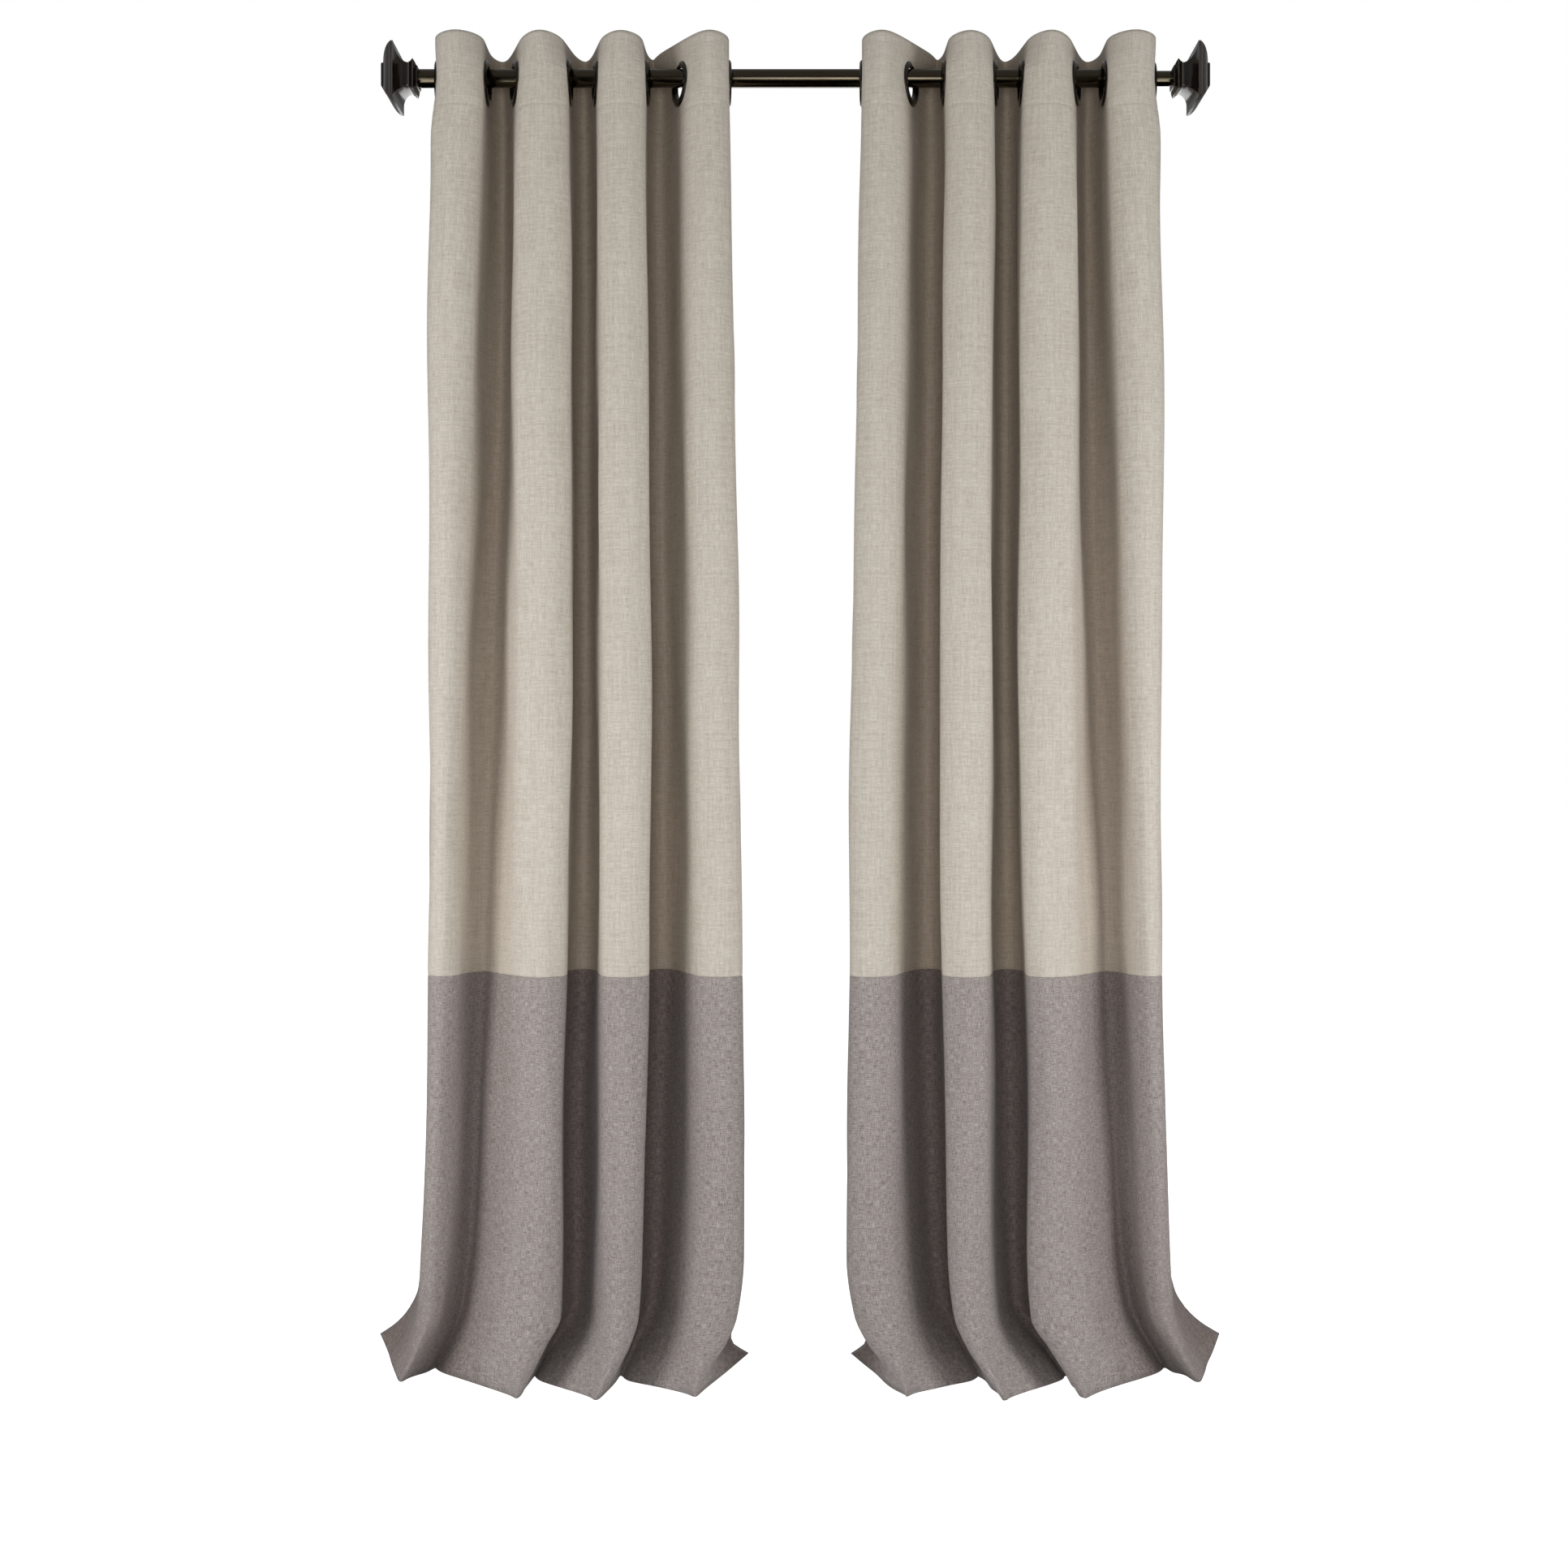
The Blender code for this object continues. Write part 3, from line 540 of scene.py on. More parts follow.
def columnWeights():
    # (columns x guide points) uniform cubic B-spline weights, ending on the first and last point
    kinds = ["edge"]
    for number in range(8):
        kinds += ["corner", "flank", "corner"]
        if number < 7:
            kinds += ["crest", "crest"] if number % 2 == 0 else ["valley", "valley"]
    kinds.append("edge")
    count = len(kinds) + 1
    rows = []

    def row(span, t):
        basis = ((1 - t) ** 3, 3 * t**3 - 6 * t**2 + 4, -3 * t**3 + 3 * t**2 + 3 * t + 1, t**3)
        weights = np.zeros(count)
        for k, value in zip(range(span - 1, span + 3), basis):
            if k < 0:
                weights[0] += 2 * value / 6
                weights[1] -= value / 6
            elif k >= count:
                weights[-1] += 2 * value / 6
                weights[-2] -= value / 6
            else:
                weights[k] += value / 6
        return weights

    for span, kind in enumerate(kinds):
        steps = spanSteps[kind]
        rows += [row(span, step / steps) for step in range(steps)]
    rows.append(row(count - 2, 1.0))
    return np.array(rows)


weightsByColumn = columnWeights()


class Panel:
    # one curtain panel's surface, as points on a grid of columns and any heights

    def __init__(self, side):
        self.sign = sides[side]
        self.rings = [ringPlace(side, number) for number in range(1, 9)]
        self.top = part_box(f"panel_{side}_upper_cloth")[1].z - floorZ
        self.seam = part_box(f"panel_{side}_lower_band")[1].z - floorZ
        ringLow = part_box(f"grommet_{side}_4_front_ring")[0].z - floorZ
        self.headerLow = ringLow - cloth["headerBelowRings"]
        levels = [{"lift": (0, 0), **level}
                  for level in ({**topLevel, "height": self.top}, ringLevel(side), *foldLevels)]
        self.heights = np.array([level["height"] for level in levels])
        self.guides = np.array([guideRow(level) for level in levels])
        if side == "right":
            driftHeights, drifts = zip(*cloth["rightDrift"][::-1])
            self.guides[..., 0] += np.interp(self.heights, driftHeights, drifts)[:, None]
        middle = self.plan(np.array([cloth["measuredAt"]]))[0]
        steps = np.linalg.norm(np.diff(middle[:, :2], axis=0), axis=1)
        self.across = np.concatenate([[0], np.cumsum(steps)])
        self.width = self.across[-1]
        randomizer = np.random.default_rng(swell["seed"][side])
        waveDraws = ("width", "height", "phase", "phase", "depth")
        self.waves = [[randomizer.uniform(*swell[draw]) for draw in waveDraws] for _ in range(swell["waves"])]
        self.puckers = [[randomizer.uniform(*swell[draw]) for draw in ("puckerWidth", "phase")]
                        for _ in range(swell["puckers"])]

    def plan(self, heights):
        guides = eased(self.heights, self.guides, heights)
        return np.einsum("cg,rgk->rck", weightsByColumn, guides)

    def surface(self, heights, offset=0.0):
        # points and normals, rows x columns x 3. The normals point out of the cloth's face
        plan = self.plan(heights)
        points = np.empty_like(plan)
        points[..., 0] = middleX + self.sign * plan[..., 0]
        points[..., 1] = rodY - plan[..., 1]
        points[..., 2] = floorZ + heights[:, None] + plan[..., 2]
        down = np.gradient(points, axis=0)
        sideways = np.gradient(points, axis=1)
        normals = np.cross(sideways, down) * self.sign
        normals /= np.maximum(np.linalg.norm(normals, axis=2, keepdims=True), 1e-9)
        if normals[len(heights) // 2, :, 1].mean() > 0:
            normals = -normals
        out = offset + self.ripple(heights)
        return points + normals * out[..., None], normals

    def ripple(self, heights):
        # how far the sheet stands out of its plan
        u, h = self.across[None, :], heights[:, None]
        turn = 6.283
        out = sum(depth * np.sin(turn * u / width + sideways) * np.sin(turn * h / height + upwards)
                  for width, height, sideways, upwards, depth in self.waves)
        out = out * np.clip((self.headerLow - h) / swell["fade"], 0, 1)
        pucker = sum(np.sin(turn * u / width + phase) for width, phase in self.puckers) / swell["puckers"]
        topHem, bottomHem = self.top - cloth["headerHem"], cloth["bottomHem"]
        for line, (reach, height) in ((self.seam, swell["seamPucker"]), (bottomHem, swell["hemPucker"])):
            out = out + pucker * np.exp(-((h - line) / reach) ** 2) * height
        for line, depth in ((topHem, swell["hemDip"]), (bottomHem, swell["hemDip"]),
                            (self.seam, swell["seamDip"])):
            out = out - depth * np.exp(-((h - line) / swell["dipReach"]) ** 2)
        return out

    def paintedFoldShade(self, heights):
        # painted shade for the folds: 0 on the crests to 1 in the valleys
        depth = self.plan(heights)[..., 1]
        return np.clip((cloth["litDepth"] - depth) / cloth["shadeDepth"], 0, 1) ** 0.8


# distance between rows of mesh, for each part of a panel
rowStep = {"upper": 0.02, "header": 0.0048, "band": 0.0115, "bandHem": 0.012, "seam": 0.003, "foot": 0.006}


def spread(low, high, step, lines=()):
    # row heights from low to high about a step apart, finer on both sides of some lines
    rows = list(np.linspace(low, high, max(2, round((high - low) / step) + 1)))
    nearby = (-0.012, -0.007, -0.004, -0.0025, -0.0012, 0, 0.0012, 0.0025, 0.004, 0.007, 0.012)
    for line in lines:
        rows += [line + away for away in nearby]
    rows = sorted(row for row in rows if low <= row <= high)
    kept = [rows[0]]
    for row in rows[1:-1]:
        if row - kept[-1] > 0.0009 and high - row > 0.0009:
            kept.append(row)
    return np.array(kept + [high])


def clothPiece(name, panel, heights, columns, material, offset=0.0, thickness=cloth["thickness"]):
    # a sheet over some columns and heights of a panel
    points, normals = panel.surface(heights, offset)
    points = points[:, columns]
    rows, count = points.shape[:2]
    bm = bmesh.new()
    bmesh.ops.create_grid(bm, x_segments=count - 1, y_segments=rows - 1, size=1)
    mesh = bpy.data.meshes.new(name)
    bm.to_mesh(mesh)
    bm.free()
    mesh.vertices.foreach_set("co", points.reshape(-1))
    across = np.broadcast_to(panel.across[None, columns], (rows, count)).reshape(-1)
    high = np.broadcast_to(heights[:, None], (rows, count)).reshape(-1)
    corner = np.empty(len(mesh.loops), np.int32)
    mesh.loops.foreach_get("vertex_index", corner)
    uv = np.stack([across[corner], high[corner]], axis=1)
    layer = mesh.uv_layers.new(name="cloth")
    layer.data.foreach_set("uv", uv.reshape(-1).astype(np.float32))
    # painted shade for the folds, stored on the mesh for the material
    depth = mesh.attributes.new("paintedFoldShade", "FLOAT", "POINT")
    paintedShadeAmounts = panel.paintedFoldShade(heights)[:, columns]
    depth.data.foreach_set("value", paintedShadeAmounts.reshape(-1).astype(np.float32))
    mesh.update()
    # faces look out of the cloth's face, the side that shows in the crests
    middleFace = mesh.polygons[len(mesh.polygons) // 2]
    vertexNormals = normals[:, columns].reshape(-1, 3)
    if np.dot(middleFace.normal, vertexNormals[middleFace.vertices[0]]) < 0:
        mesh.flip_normals()
    mesh.shade_smooth()
    obj = bpy.data.objects.new(name, mesh)
    bpy.context.scene.collection.objects.link(obj)
    mesh.materials.append(material)
    solid = obj.modifiers.new("thickness", "SOLIDIFY")
    solid.thickness = thickness
    solid.offset = 0
    return obj


def cutEyelets(obj, panel):
    # round holes for the eyelets' necks, with the mesh drawn on to their rims
    radius = cloth["neckRadius"] + cloth["holeGap"]
    bm = bmesh.new()
    bm.from_mesh(obj.data)
    for centre, axis in panel.rings:
        inside = []
        for face in bm.faces:
            away = face.calc_center_median() - centre
            if away.length < radius * 0.97 and abs(away.dot(axis)) < 0.01:
                inside.append(face)
        rim = {vert for face in inside for vert in face.verts}
        bmesh.ops.delete(bm, geom=inside, context="FACES")
        for vert in rim:
            if not vert.is_valid:
                continue
            away = vert.co - centre
            height = axis * away.dot(axis)
            vert.co = centre + height + (away - height).normalized() * radius
    loose = [vert for vert in bm.verts if not vert.link_faces]
    bmesh.ops.delete(bm, geom=loose, context="VERTS")
    bm.to_mesh(obj.data)
    bm.free()


stitch = {"pitch": 0.0042, "length": 0.0032, "width": 0.0006}


def sewLine(bm, path, normals):
    # small thread beads along a run of points
    steps = np.linalg.norm(np.diff(path, axis=0), axis=1)
    reached = np.concatenate([[0], np.cumsum(steps)])
    length, width = stitch["length"], stitch["width"]
    size = Matrix.Diagonal((length / 2, width / 2, width / 2, 1))

    def at(values, distance):
        return Vector([np.interp(distance, reached, values[:, k]) for k in range(3)])

    for start in np.arange(stitch["pitch"], reached[-1] - stitch["pitch"], stitch["pitch"]):
        here = at(path, start)
        up = at(normals, start).normalized()
        run = (at(path, start + length / 2) - here).normalized()
        cross = up.cross(run).normalized()
        turn = Matrix((run, cross, up)).transposed().to_4x4()
        place = Matrix.Translation(here) @ turn @ size
        bmesh.ops.create_icosphere(bm, subdivisions=1, radius=1, matrix=place)


def stitching(name, panel, rows, hemHeight, columns, material):
    # one row of stitches along a hem and one down each edge
    points, normals = panel.surface(rows, cloth["thickness"] / 2 + cloth["hemGap"])
    hemRow = int(np.argmin(abs(rows - hemHeight)))
    bm = bmesh.new()
    sewLine(bm, points[hemRow], normals[hemRow])
    for column in columns:
        sewLine(bm, points[:, column], normals[:, column])
    return newObject(name, bm, material, smoothAngle=180)


def makeHems(side, panel, outerColumns, innerColumns):
    # folded-in cloth, sewn on the wall side
    top, seam, bottomHem, raised = panel.top, panel.seam, cloth["bottomHem"], cloth["hemRaise"]
    behind = -cloth["thickness"] - cloth["hemGap"]
    everyColumn = slice(0, len(panel.across))
    upperRows = spread(seam + 0.002, top - 0.001, rowStep["upper"])
    bandRows = spread(bottomHem + 0.002, seam - 0.013, rowStep["bandHem"])
    allowanceRows = spread(seam - 0.011, seam - 0.0008, rowStep["seam"])
    footRows = spread(raised + 0.0008, bottomHem, rowStep["foot"])
    upper = (("outer_hem", upperRows, outerColumns), ("inner_hem", upperRows, innerColumns),
             ("seam_allowance", allowanceRows, everyColumn))
    band = (("band_outer_hem", bandRows, outerColumns), ("band_inner_hem", bandRows, innerColumns),
            ("bottom_hem", footRows, everyColumn))
    made = []
    for specs, material in ((upper, naturalLinen), (band, taupeLinen)):
        made.append([clothPiece(f"panel_{side}_{label}", panel, rows, columns, material, behind,
                                cloth["hemThickness"]) for label, rows, columns in specs])
    return made


def makePanel(side):
    panel = Panel(side)
    everyColumn = slice(0, len(panel.across))
    topHem = panel.top - cloth["headerHem"]
    upperRows = np.concatenate([
        spread(panel.seam, panel.headerLow, rowStep["upper"], (panel.seam, topHem))[:-1],
        spread(panel.headerLow, panel.top, rowStep["header"])])
    bandRows = spread(cloth["hemRaise"], panel.seam, rowStep["band"], (cloth["bottomHem"], panel.seam))
    upper = clothPiece(f"panel_{side}_upper", panel, upperRows, everyColumn, naturalLinen)
    band = clothPiece(f"panel_{side}_band", panel, bandRows, everyColumn, taupeLinen)
    cutEyelets(upper, panel)
    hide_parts(f"panel_{side}_upper_cloth")
    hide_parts(f"panel_{side}_lower_band")

    outerEnd = int(np.searchsorted(panel.across, cloth["sideHem"])) + 1
    innerStart = int(np.searchsorted(panel.across, panel.width - cloth["sideHem"]))
    upperHems, bandHems = makeHems(side, panel, slice(0, outerEnd), slice(innerStart, len(panel.across)))
    edges = (outerEnd - 2, innerStart + 1)
    upperHems.insert(0, stitching(f"panel_{side}_upper_stitching", panel, upperRows, topHem, edges,
                                  naturalThread))
    bandHems.insert(0, stitching(f"panel_{side}_band_stitching", panel, bandRows, cloth["bottomHem"], edges,
                                 taupeThread))

    # each piece's placement is baked into its mesh
    for slot, pieces in (("natural_cloth", [upper, *upperHems]), ("taupe_cloth", [band, *bandHems])):
        for piece in pieces:
            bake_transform(piece)
    print(side, "panel made,", round(panel.width, 3), "m of cloth across")


# eyelets

eyelet = {"steps": 72, "bore": 0.023, "neckWall": 0.003, "flange": 0.012, "face": 0.0011, "thick": 0.0032,
          "snapGap": 0.0003, "frontBevel": 0.0007, "backBevel": 0.0005}


def eyeletMeshes():
    bore, face = eyelet["bore"], eyelet["face"]
    neck, rim, crown = bore + eyelet["neckWall"], bore + eyelet["flange"], face + eyelet["thick"]
    snap = neck + eyelet["snapGap"]
    front = [(bore, -crown), (neck, -crown), (neck, face), (rim, face), (rim, face + 0.0009),
             (rim - 0.0035, crown), (bore + 0.0032, crown), (bore, crown - 0.0028)]
    back = [(snap, -crown + 0.0004), (rim - 0.004, -crown), (rim, -face - 0.0009), (rim, -face),
            (snap, -face)]
    return (softened(spun(front, eyelet["steps"]), eyelet["frontBevel"], segments=3),
            softened(spun(back, eyelet["steps"]), eyelet["backBevel"], segments=3))


def makeEyelets():
    front, back = eyeletMeshes()
    for side in sides:
        for number in range(1, 9):
            centre, axis = ringPlace(side, number)
            body = f"{side}_grommet_{number}" if number < 8 else f"{side}_leading_grommet_and_panel"
            for label, source in (("front", front), ("back", back)):
                bm = moved(source.copy(), Matrix.Translation(centre) @ along(axis))
                fitted(f"{side}_eyelet_{number}_{label}", bm, eyeletBronze, body,
                       f"grommet_{side}_{number}_{label}_ring")
    front.free()
    back.free()
    print("eyelets made")


# rod and finials

rod = {"steps": 96, "wall": 0.0012, "lip": 0.01, "lipGap": 0.0003, "bevel": 0.0002}


def makeTube(name, profile, startX, body, node):
    bm = softened(spun(profile, rod["steps"]), rod["bevel"])
    bm = moved(bm, Matrix.Translation((startX, rodY, rodZ)) @ along((1, 0, 0)))
    fitted(name, bm, rodBronze, body, node)


def makeRod():
    innerLow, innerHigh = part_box("rod_inner_tube")
    innerRadius = trueRadius(innerHigh.z - innerLow.z, "tube")
    wall, lip = rod["wall"], rod["lip"]
    outside, length = tubeRadius, tubeHigh.x - tubeLow.x
    bore, mouth = outside - wall, innerRadius + rod["lipGap"]
    outer = [(bore, 0), (outside, 0), (outside, length - wall), (outside - wall * 0.5, length - wall * 0.2),
             (bore, length), (mouth, length), (mouth, length - lip), (bore, length - lip - wall)]
    makeTube("rod_tube_outer", outer, tubeLow.x, "rod_and_brackets", "rod_outer_tube")
    length = innerHigh.x - innerLow.x
    bore = innerRadius - wall
    inner = [(bore, 0), (innerRadius, 0), (innerRadius, length), (bore, length)]
    makeTube("rod_tube_inner", inner, innerLow.x, "inner_rod", "rod_inner_tube")


finial = {"corner": 0.00176, "cornerSteps": 3, "hollow": 0.0198, "hollowSteps": 14, "neckHalf": 0.0192,
          "bead": 0.0011, "beadDip": 0.0009, "domeSteps": 10, "domeFrom": 18, "domeTo": 72,
          "bossHalf": 0.0185, "bossHeight": 0.0042}
# (height, half width) up the collar; the ridge's widths are counted from its own widest
collar = {"foot": [(0, 0.0145), (0.0006, 0.0155), (0.0022, 0.0158), (0.0026, 0.0172), (0.0034, 0.0196),
                   (0.0046, 0.0214)],
          "ridge": [(0.0056, -0.0004), (0.0062, 0), (0.0070, -0.0004), (0.0086, -0.0016)],
          "neck": [(0.0104, 0.0205), (0.0116, 0.0196), (0.0120, 0.0202), (0.0126, 0.0202)], "end": 0.0196}


def squareLoft(sections):
    # rounded squares of (height, half width), bridged into one closed shape along Z
    bm = bmesh.new()
    loops = []
    taken = set()
    for height, half in sections:
        place = Matrix.Translation((0, 0, height)) @ Matrix.Rotation(math.pi / 4, 4, "Z")
        square = bmesh.ops.create_circle(bm, segments=4, radius=half * math.sqrt(2), matrix=place)
        bmesh.ops.bevel(bm, geom=square["verts"], offset=min(finial["corner"], half * 0.33),
                        segments=finial["cornerSteps"], profile=0.5, affect="VERTICES", material=-1)
        loop = [edge for edge in bm.edges if edge not in taken]
        taken.update(loop)
        loops.append(loop)
    for first, second in zip(loops, loops[1:]):
        bmesh.ops.bridge_loops(bm, edges=first + second)
    bmesh.ops.holes_fill(bm, edges=loops[0] + loops[-1])
    bmesh.ops.recalc_face_normals(bm, faces=bm.faces)
    return bm


def headSections(depth, rimHalf):
    # (height, half width) of the hollow back, two beads round the rim, a domed face, a raised boss
    bead, dip, bossHalf, z = finial["bead"], finial["beadDip"], finial["bossHalf"], finial["hollow"]
    sections = []
    for angle in np.radians(np.linspace(0, 90, finial["hollowSteps"] + 1)):
        half = rimHalf - 0.0004 - (rimHalf - finial["neckHalf"]) * math.cos(angle)
        sections.append((z * math.sin(angle), half))
    for _ in range(2):
        sections += [(z + 0.0002, rimHalf), (z + bead, rimHalf), (z + bead + 0.0003, rimHalf - dip),
                     (z + bead + 0.0009, rimHalf - dip)]
        z += bead + 0.0010
    domeEnd = depth - finial["bossHeight"]
    arc = np.radians(np.linspace(finial["domeFrom"], finial["domeTo"], finial["domeSteps"] + 1))
    fall = (np.cos(arc[0]) - np.cos(arc)) / (np.cos(arc[0]) - np.cos(arc[-1]))
    reach = (np.sin(arc) - np.sin(arc[0])) / (np.sin(arc[-1]) - np.sin(arc[0]))
    halves = rimHalf - 0.0008 - (rimHalf - bossHalf - 0.002) * fall
    sections += zip(z + (domeEnd - z) * reach, halves)
    return sections + [(domeEnd + 0.0002, bossHalf), (depth - 0.0014, bossHalf),
                       (depth - 0.0004, bossHalf - 0.0006), (depth, bossHalf - 0.0016)]


def collarSections(depth, half):
    ridge = [(height, half + change) for height, change in collar["ridge"]]
    return [*collar["foot"], *ridge, *collar["neck"], (depth, collar["end"])]


def makeFinial(side):
    away = sides[side]
    for label, node, shape in (("carved_head", "head", headSections),
                               ("moulded_collar", "collar", collarSections)):
        low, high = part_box(f"finial_{side}_{node}")
        seat = Vector((high.x if away < 0 else low.x, rodY, rodZ))
        bm = squareLoft(shape(high.x - low.x, (high.z - low.z) / 2))
        bm = moved(bm, Matrix.Translation(seat) @ along((away, 0, 0)))
        fitted(f"finial_{side}_{label}", bm, finialBronze, f"finial_{side}",
               f"finial_{side}_{node}", smoothAngle=32)
    setMaterial(f"finial_{side}_stud", zincSteel)


# brackets

plate = {"corner": 0.006, "edge": 0.0013}


def makeWallPlate(side):
    low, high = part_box(f"bracket_{side}_wall_plate")
    size = high - low
    bm = bmesh.new()
    place = Matrix.Translation((low + high) / 2) @ Matrix.Diagonal((*size, 1))
    bmesh.ops.create_cube(bm, size=1, matrix=place)
    upright = [edge for edge in bm.edges if abs((edge.verts[0].co - edge.verts[1].co).y) > size.y / 2]
    bmesh.ops.bevel(bm, geom=upright, offset=plate["corner"], segments=6, profile=0.5, affect="EDGES",
                    material=-1)
    front = [edge for edge in bm.edges if all(vert.co.y < low.y + 1e-6 for vert in edge.verts)]
    bmesh.ops.bevel(bm, geom=front, offset=plate["edge"], segments=3, profile=0.5, affect="EDGES",
                    material=-1)
    fitted(f"bracket_{side}_plate", bm, bracketBronze, "rod_and_brackets",
           f"bracket_{side}_wall_plate", smoothAngle=30)


# root is the thread's, as a share of the shank
wallScrew = {"shank": 0.002, "root": 0.72, "pitch": 0.0016, "headRadius": 0.004, "headHeight": 0.0024,
             "slotWidth": 0.0009, "slotReach": 0.0048, "slotDepth": 0.0016, "steps": 32}


def makeWallScrew(side, which):
    low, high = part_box(f"bracket_{side}_wall_screw_{which}")
    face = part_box(f"bracket_{side}_wall_plate")[0].y
    shank, root, pitch = wallScrew["shank"], wallScrew["shank"] * wallScrew["root"], wallScrew["pitch"]
    head, height = wallScrew["headRadius"], wallScrew["headHeight"]
    length = high.y - face
    profile = [(0, -length), (shank * 0.15, -length)]  # a blunt point
    for turn in range(int((length - 0.006) / pitch)):
        z = -length + 0.003 + turn * pitch
        profile += [(root, z), (shank, z + 0.0005), (shank, z + 0.0007), (root, z + 0.0012)]
    profile += [(shank * 0.8, 0.0003), (head, 0.0003), (head, 0.0011), (head * 0.8, height * 0.8),
                (head * 0.45, height), (0, height)]
    place = Matrix.Translation(((low.x + high.x) / 2, face, (low.z + high.z) / 2)) @ along((0, -1, 0))
    bm = moved(spun(profile, wallScrew["steps"], closed=False), place)
    screw = newObject(f"bracket_{side}_screw_{which}", bm, zincSteel, "rod_and_brackets", smoothAngle=30)
    cutCross(screw, place @ Matrix.Translation((0, 0, height)))
    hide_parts(f"bracket_{side}_wall_screw_{which}")


def cutCross(screw, place):
    # the driver's cross in a screw head
    width, reach, deep = wallScrew["slotWidth"], wallScrew["slotReach"], wallScrew["slotDepth"]
    bm = bmesh.new()
    for size in ((reach, width, deep, 1), (width, reach, deep, 1)):
        bmesh.ops.create_cube(bm, size=1, matrix=place @ Matrix.Diagonal(size))
    cutter = newObject(screw.name + "_cutter", bm, zincSteel)
    cut = screw.modifiers.new("cross", "BOOLEAN")
    cut.operation = "DIFFERENCE"
    cut.object = cutter
    cut.use_self = True
    bpy.context.view_layer.update()
    finished = screw.evaluated_get(bpy.context.evaluated_depsgraph_get())
    mesh = bpy.data.meshes.new_from_object(finished)
    screw.modifiers.remove(cut)
    screw.data = mesh
    bpy.data.objects.remove(cutter)


arm = {"stem": 0.006, "ring": 0.0074, "end": 0.0054, "steps": 48}


def makeArm(side):
    low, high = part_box(f"bracket_{side}_arm")
    length = high.y - low.y
    flange = trueRadius(high.x - low.x, "turned")
    stem, ring = arm["stem"], arm["ring"]
    profile = [(0, 0), (flange, 0), (flange, 0.0022), (flange - 0.0012, 0.0034), (0.0082, 0.0042),
               (0.0068, 0.0058), (stem, 0.009), (stem, length * 0.45), (ring - 0.0003, length * 0.47),
               (ring, length * 0.5), (ring - 0.0003, length * 0.53), (stem, length * 0.55),
               (stem, length - 0.001), (arm["end"], length), (0, length)]
    place = Matrix.Translation(((low.x + high.x) / 2, high.y, rodZ)) @ along((0, -1, 0))
    bm = moved(spun(profile, arm["steps"], closed=False), place)
    fitted(f"bracket_{side}_turned_arm", bm, bracketBronze, "rod_and_brackets",
           f"bracket_{side}_arm")


cradle = {"gap": 0.0003, "wall": 0.0036, "start": 35, "sweep": -215, "steps": 60, "bevel": 0.0008,
          "bore": 0.0023, "bossTip": 0.0044, "boss": 0.0052, "bossRoot": 0.0066, "bossSink": 0.0012,
          "bossSteps": 40, "bossBevel": 0.0002}


def makeCradle(side):
    low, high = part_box(f"bracket_{side}_cradle")
    half = (high.x - low.x) / 2
    inner = tubeRadius + cradle["gap"]
    outer = inner + cradle["wall"]
    start = math.radians(cradle["start"])
    out = Vector((0, math.cos(start), math.sin(start)))
    bm = bmesh.new()
    outline = [(inner, -half), (inner, half), (outer, half), (outer, -half)]
    section = bm.faces.new([bm.verts.new(out * reach + Vector((x, 0, 0))) for reach, x in outline])
    bmesh.ops.spin(bm, geom=[section, *section.edges, *section.verts], cent=(0, 0, 0), axis=(1, 0, 0),
                   angle=math.radians(cradle["sweep"]), steps=cradle["steps"])
    bmesh.ops.recalc_face_normals(bm, faces=bm.faces)
    softened(bm, cradle["bevel"], segments=3, sharper=50)
    place = Matrix.Translation(((low.x + high.x) / 2, rodY, rodZ))
    fitted(f"bracket_{side}_hook", moved(bm, place), bracketBronze, "rod_and_brackets",
           f"bracket_{side}_cradle", smoothAngle=30)
    bore, boss, root = cradle["bore"], cradle["boss"], cradle["bossRoot"]
    bottom, top = low.z - rodZ, cradle["bossSink"] - outer
    profile = [(bore, bottom), (cradle["bossTip"], bottom), (boss, bottom + 0.0008), (boss, top - 0.0016),
               (root, top), (bore, top)]
    bm = softened(spun(profile, cradle["bossSteps"]), cradle["bossBevel"])
    fitted(f"bracket_{side}_hook_boss", moved(bm, place), bracketBronze, "rod_and_brackets")


thumbScrew = {"knob": 0.007, "knurls": 20, "knurlDepth": 0.0006, "edge": 0.0006, "stem": 0.002,
              "root": 0.0017, "pitch": 0.0008, "steps": 24}


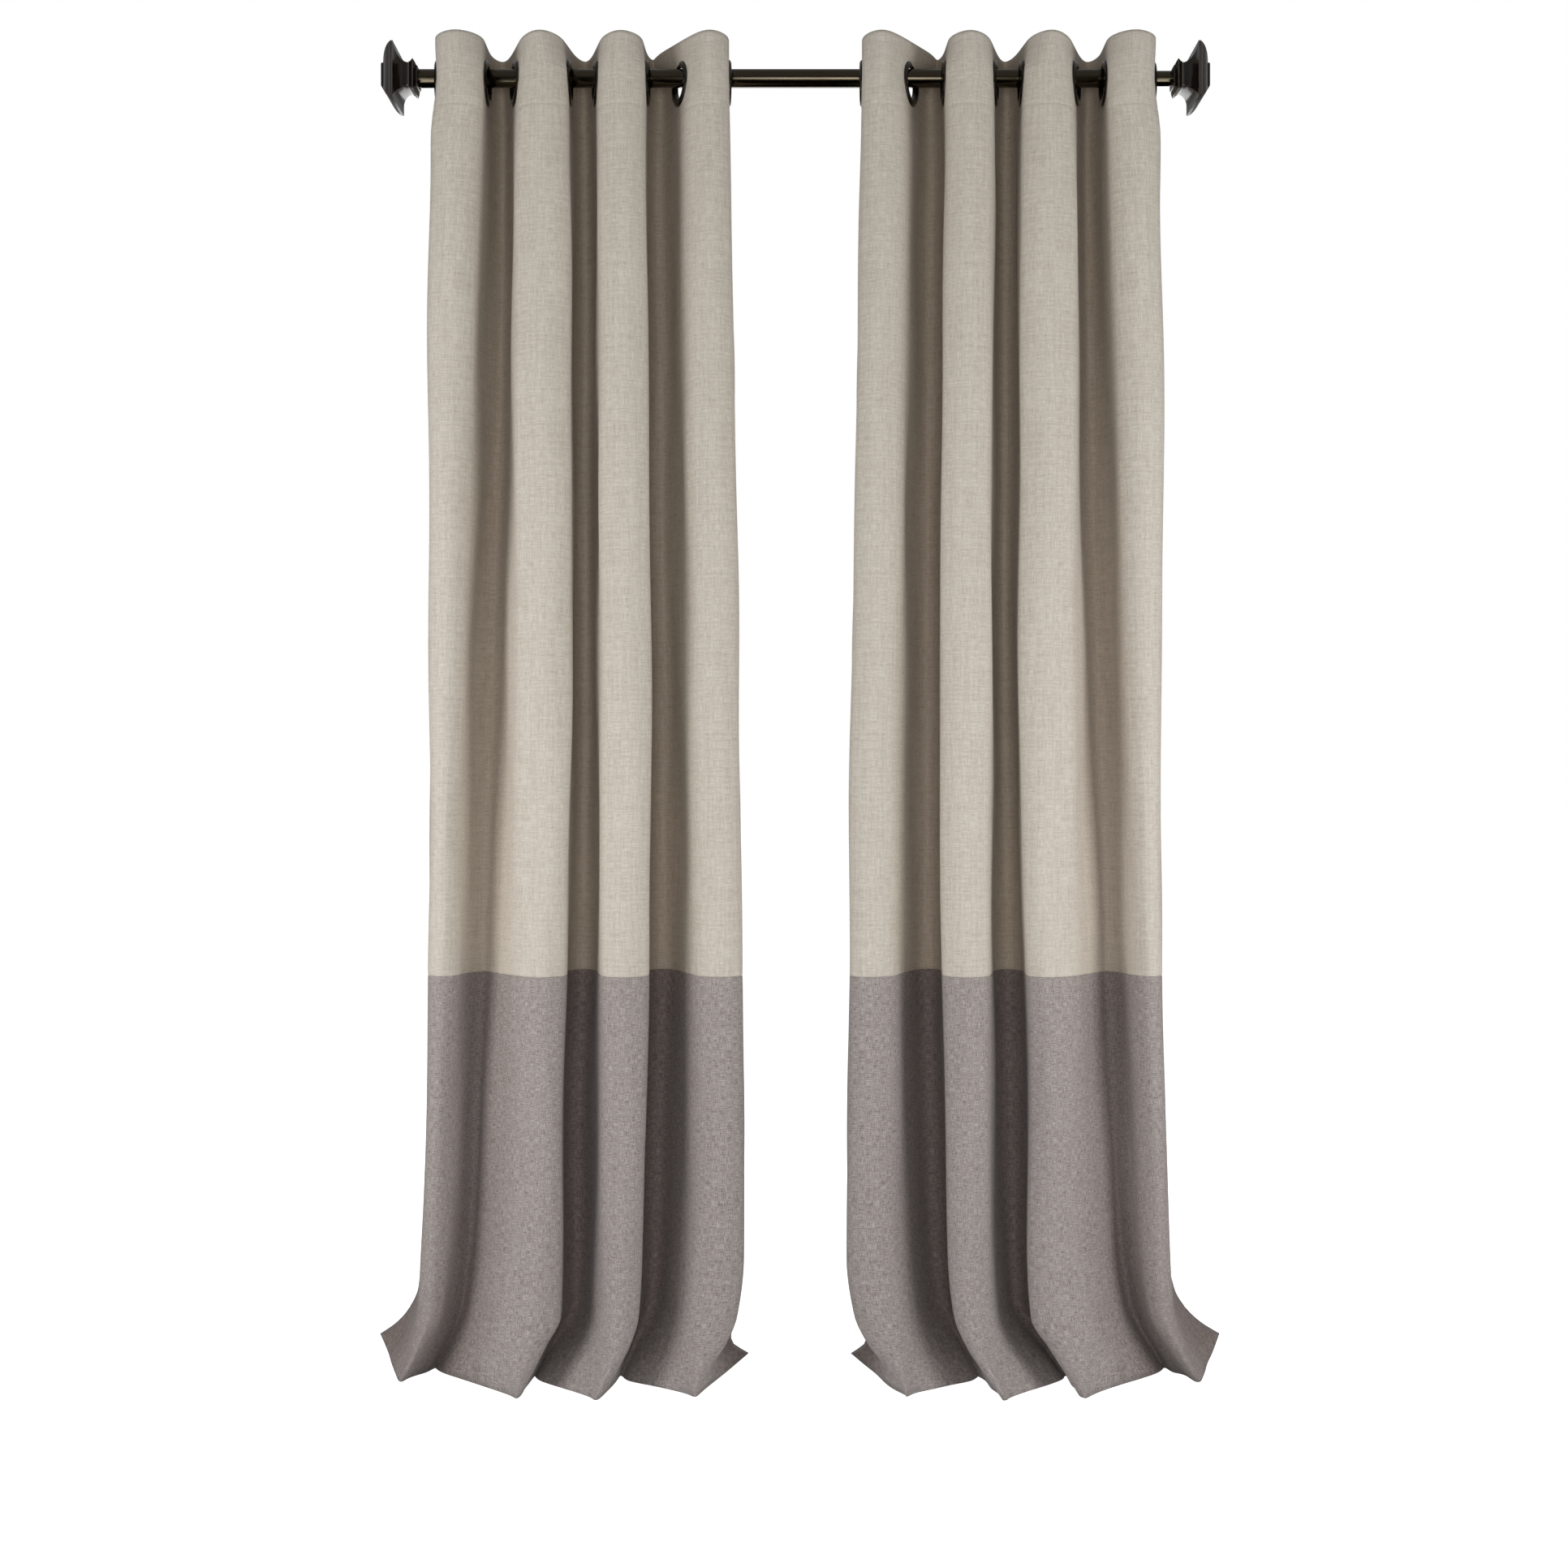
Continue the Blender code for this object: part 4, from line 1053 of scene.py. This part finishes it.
def makeThumbScrew(side):
    low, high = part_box(f"bracket_{side}_thumb_screw")
    radius = trueRadius(high.x - low.x, "turned")
    centre = Vector(((low.x + high.x) / 2, rodY, low.z))
    bm = bmesh.new()
    bmesh.ops.create_circle(bm, cap_ends=True, segments=thumbScrew["knurls"] * 4, radius=radius,
                            matrix=Matrix.Translation(centre))
    for index, vert in enumerate(list(bm.verts)):
        if index % 4 < 2:
            vert.co -= (vert.co - centre).normalized() * thumbScrew["knurlDepth"]
    grown = bmesh.ops.extrude_face_region(bm, geom=list(bm.faces))["geom"]
    lifted = [vert for vert in grown if isinstance(vert, bmesh.types.BMVert)]
    bmesh.ops.translate(bm, vec=(0, 0, thumbScrew["knob"]), verts=lifted)
    bmesh.ops.recalc_face_normals(bm, faces=bm.faces)
    rims = [edge for edge in bm.edges if abs(edge.verts[0].co.z - edge.verts[1].co.z) < 1e-6]
    bmesh.ops.bevel(bm, geom=rims, offset=thumbScrew["edge"], segments=2, profile=0.5, affect="EDGES",
                    material=-1)
    fitted(f"bracket_{side}_thumb_knob", bm, finialBronze, f"thumb_screw_{side}",
           f"bracket_{side}_thumb_screw", smoothAngle=25)
    stem, root = thumbScrew["stem"], thumbScrew["root"]
    z = low.z + thumbScrew["knob"] - 0.0005
    profile = [(0, z)]
    while z < high.z - thumbScrew["pitch"] * 2:
        profile += [(root, z), (stem, z + 0.0003), (stem, z + 0.0004), (root, z + 0.0007)]
        z += thumbScrew["pitch"]
    profile += [(root, high.z - 0.0004), (root - 0.0004, high.z), (0, high.z)]
    bm = moved(spun(profile, thumbScrew["steps"], closed=False), Matrix.Translation((centre.x, rodY, 0)))
    fitted(f"bracket_{side}_thumb_stem", bm, zincSteel, f"thumb_screw_{side}",
           smoothAngle=25)


def makeBrackets():
    for side in sides:
        makeWallPlate(side)
        makeWallScrew(side, "top")
        makeWallScrew(side, "bottom")
        makeArm(side)
        makeCradle(side)
        makeThumbScrew(side)
        setMaterial(f"rod_{side}_end_plug", zincSteel)
    setMaterial("rod_inner_tube_guide_plug", blackNylon)
    print("brackets made")


# studio

studio = {
    "distance": 2.8, "eyeHeight": 0.94, "sideStep": -0.018, "lens": 40.76, "sensor": 36,
    "floorTint": (0.8, 0.8, 0.8), "floorGlow": 0.9, "floorReach": 60, "floorGap": 0.001,
    "fill": 0.27, "fillRise": 2.0, "fillLevel": 0.35, "aimHeight": 1.0}
# places are measured from the curtains' middle: sideways, out from the rod, above the floor
softboxes = {
    "key": {"place": (0, -3.1, 0.95), "size": (1.3, 1.3), "power": 27},
    "left": {"place": (-1.7, -1.0, 0.95), "size": (0.7, 1.8), "power": 18},
    "right": {"place": (1.7, -1.0, 0.95), "size": (0.7, 1.8), "power": 17},
    "back": {"place": (0, 2.6, 1.2), "size": (2.4, 1.6), "power": 26}}


def makeCamera():
    camera = bpy.data.objects.new("camera", bpy.data.cameras.new("camera"))
    camera.data.lens = studio["lens"]
    camera.data.sensor_width = studio["sensor"]
    camera.location = (middleX + studio["sideStep"], rodY - studio["distance"], floorZ + studio["eyeHeight"])
    camera.rotation_euler = (math.pi / 2, 0, 0)
    bpy.context.scene.collection.objects.link(camera)
    bpy.context.scene.camera = camera


def makeSoftbox(name, look):
    light = bpy.data.lights.new(name, "AREA")
    light.shape = "RECTANGLE"
    light.size, light.size_y = look["size"]
    light.energy = look["power"]
    box = bpy.data.objects.new(name, light)
    box.location = Vector((middleX, rodY, floorZ)) + Vector(look["place"])
    aim = Vector((middleX, rodY, floorZ + studio["aimHeight"]))
    box.rotation_euler = (box.location - aim).to_track_quat("Z", "Y").to_euler()
    bpy.context.scene.collection.objects.link(box)
    return box


def makeFloor():
    bm = bmesh.new()
    place = Matrix.Translation((middleX, 0, floorZ - studio["floorGap"]))
    bmesh.ops.create_grid(bm, x_segments=1, y_segments=1, size=studio["floorReach"], matrix=place)
    material = bpy.data.materials.new("paleFloor")
    material.use_nodes = True
    add, wire, maths = nodeTools(material.node_tree)
    shader = material.node_tree.nodes["Principled BSDF"]
    setInputs(shader, {"Base Color": (*studio["floorTint"], 1), "Roughness": 0.9,
                       "Specular IOR Level": 0.1, "Emission Color": (1, 1, 1, 1)})
    # kept pale out to the horizon, where the lamps no longer reach
    seenFrom = add("ShaderNodeLightPath")
    glow = maths("MULTIPLY", seenFrom.outputs["Is Camera Ray"], studio["floorGlow"])
    wire(glow, shader.inputs["Emission Strength"])
    floor = newObject("floor", bm, material)
    floor.visible_glossy = False


def makeWorld():
    # a white backdrop to the camera, and a soft fill from above for everything else
    world = bpy.data.worlds.new("studio")
    bpy.context.scene.world = world
    world.use_nodes = True
    add, wire, maths = nodeTools(world.node_tree)
    background = world.node_tree.nodes["Background"]
    path = add("ShaderNodeLightPath")
    up = add("ShaderNodeTexCoord")
    split = add("ShaderNodeSeparateXYZ")
    wire(up.outputs["Generated"], split.inputs[0])
    high = maths("MULTIPLY_ADD", split.outputs[2], studio["fillRise"], studio["fillLevel"])
    sky = maths("MULTIPLY", maths("MINIMUM", maths("MAXIMUM", high, 0.0), 1.0), studio["fill"])
    wire(maths("MAXIMUM", sky, path.outputs["Is Camera Ray"]), background.inputs["Strength"])
    setInputs(background, {"Color": (1, 1, 1, 1)})


def makeStudio():
    makeFloor()
    makeWorld()
    boxes = {name: makeSoftbox(name, look) for name, look in softboxes.items()}
    boxes["back"].visible_camera = False
    bpy.context.scene.view_settings.view_transform = "Standard"


# build

makeCamera()
makeRod()
for finialSide in sides:
    makeFinial(finialSide)
print("rod and finials made")
makeBrackets()
makeEyelets()
for panelSide in sides:
    makePanel(panelSide)
makeStudio()
print("studio made")
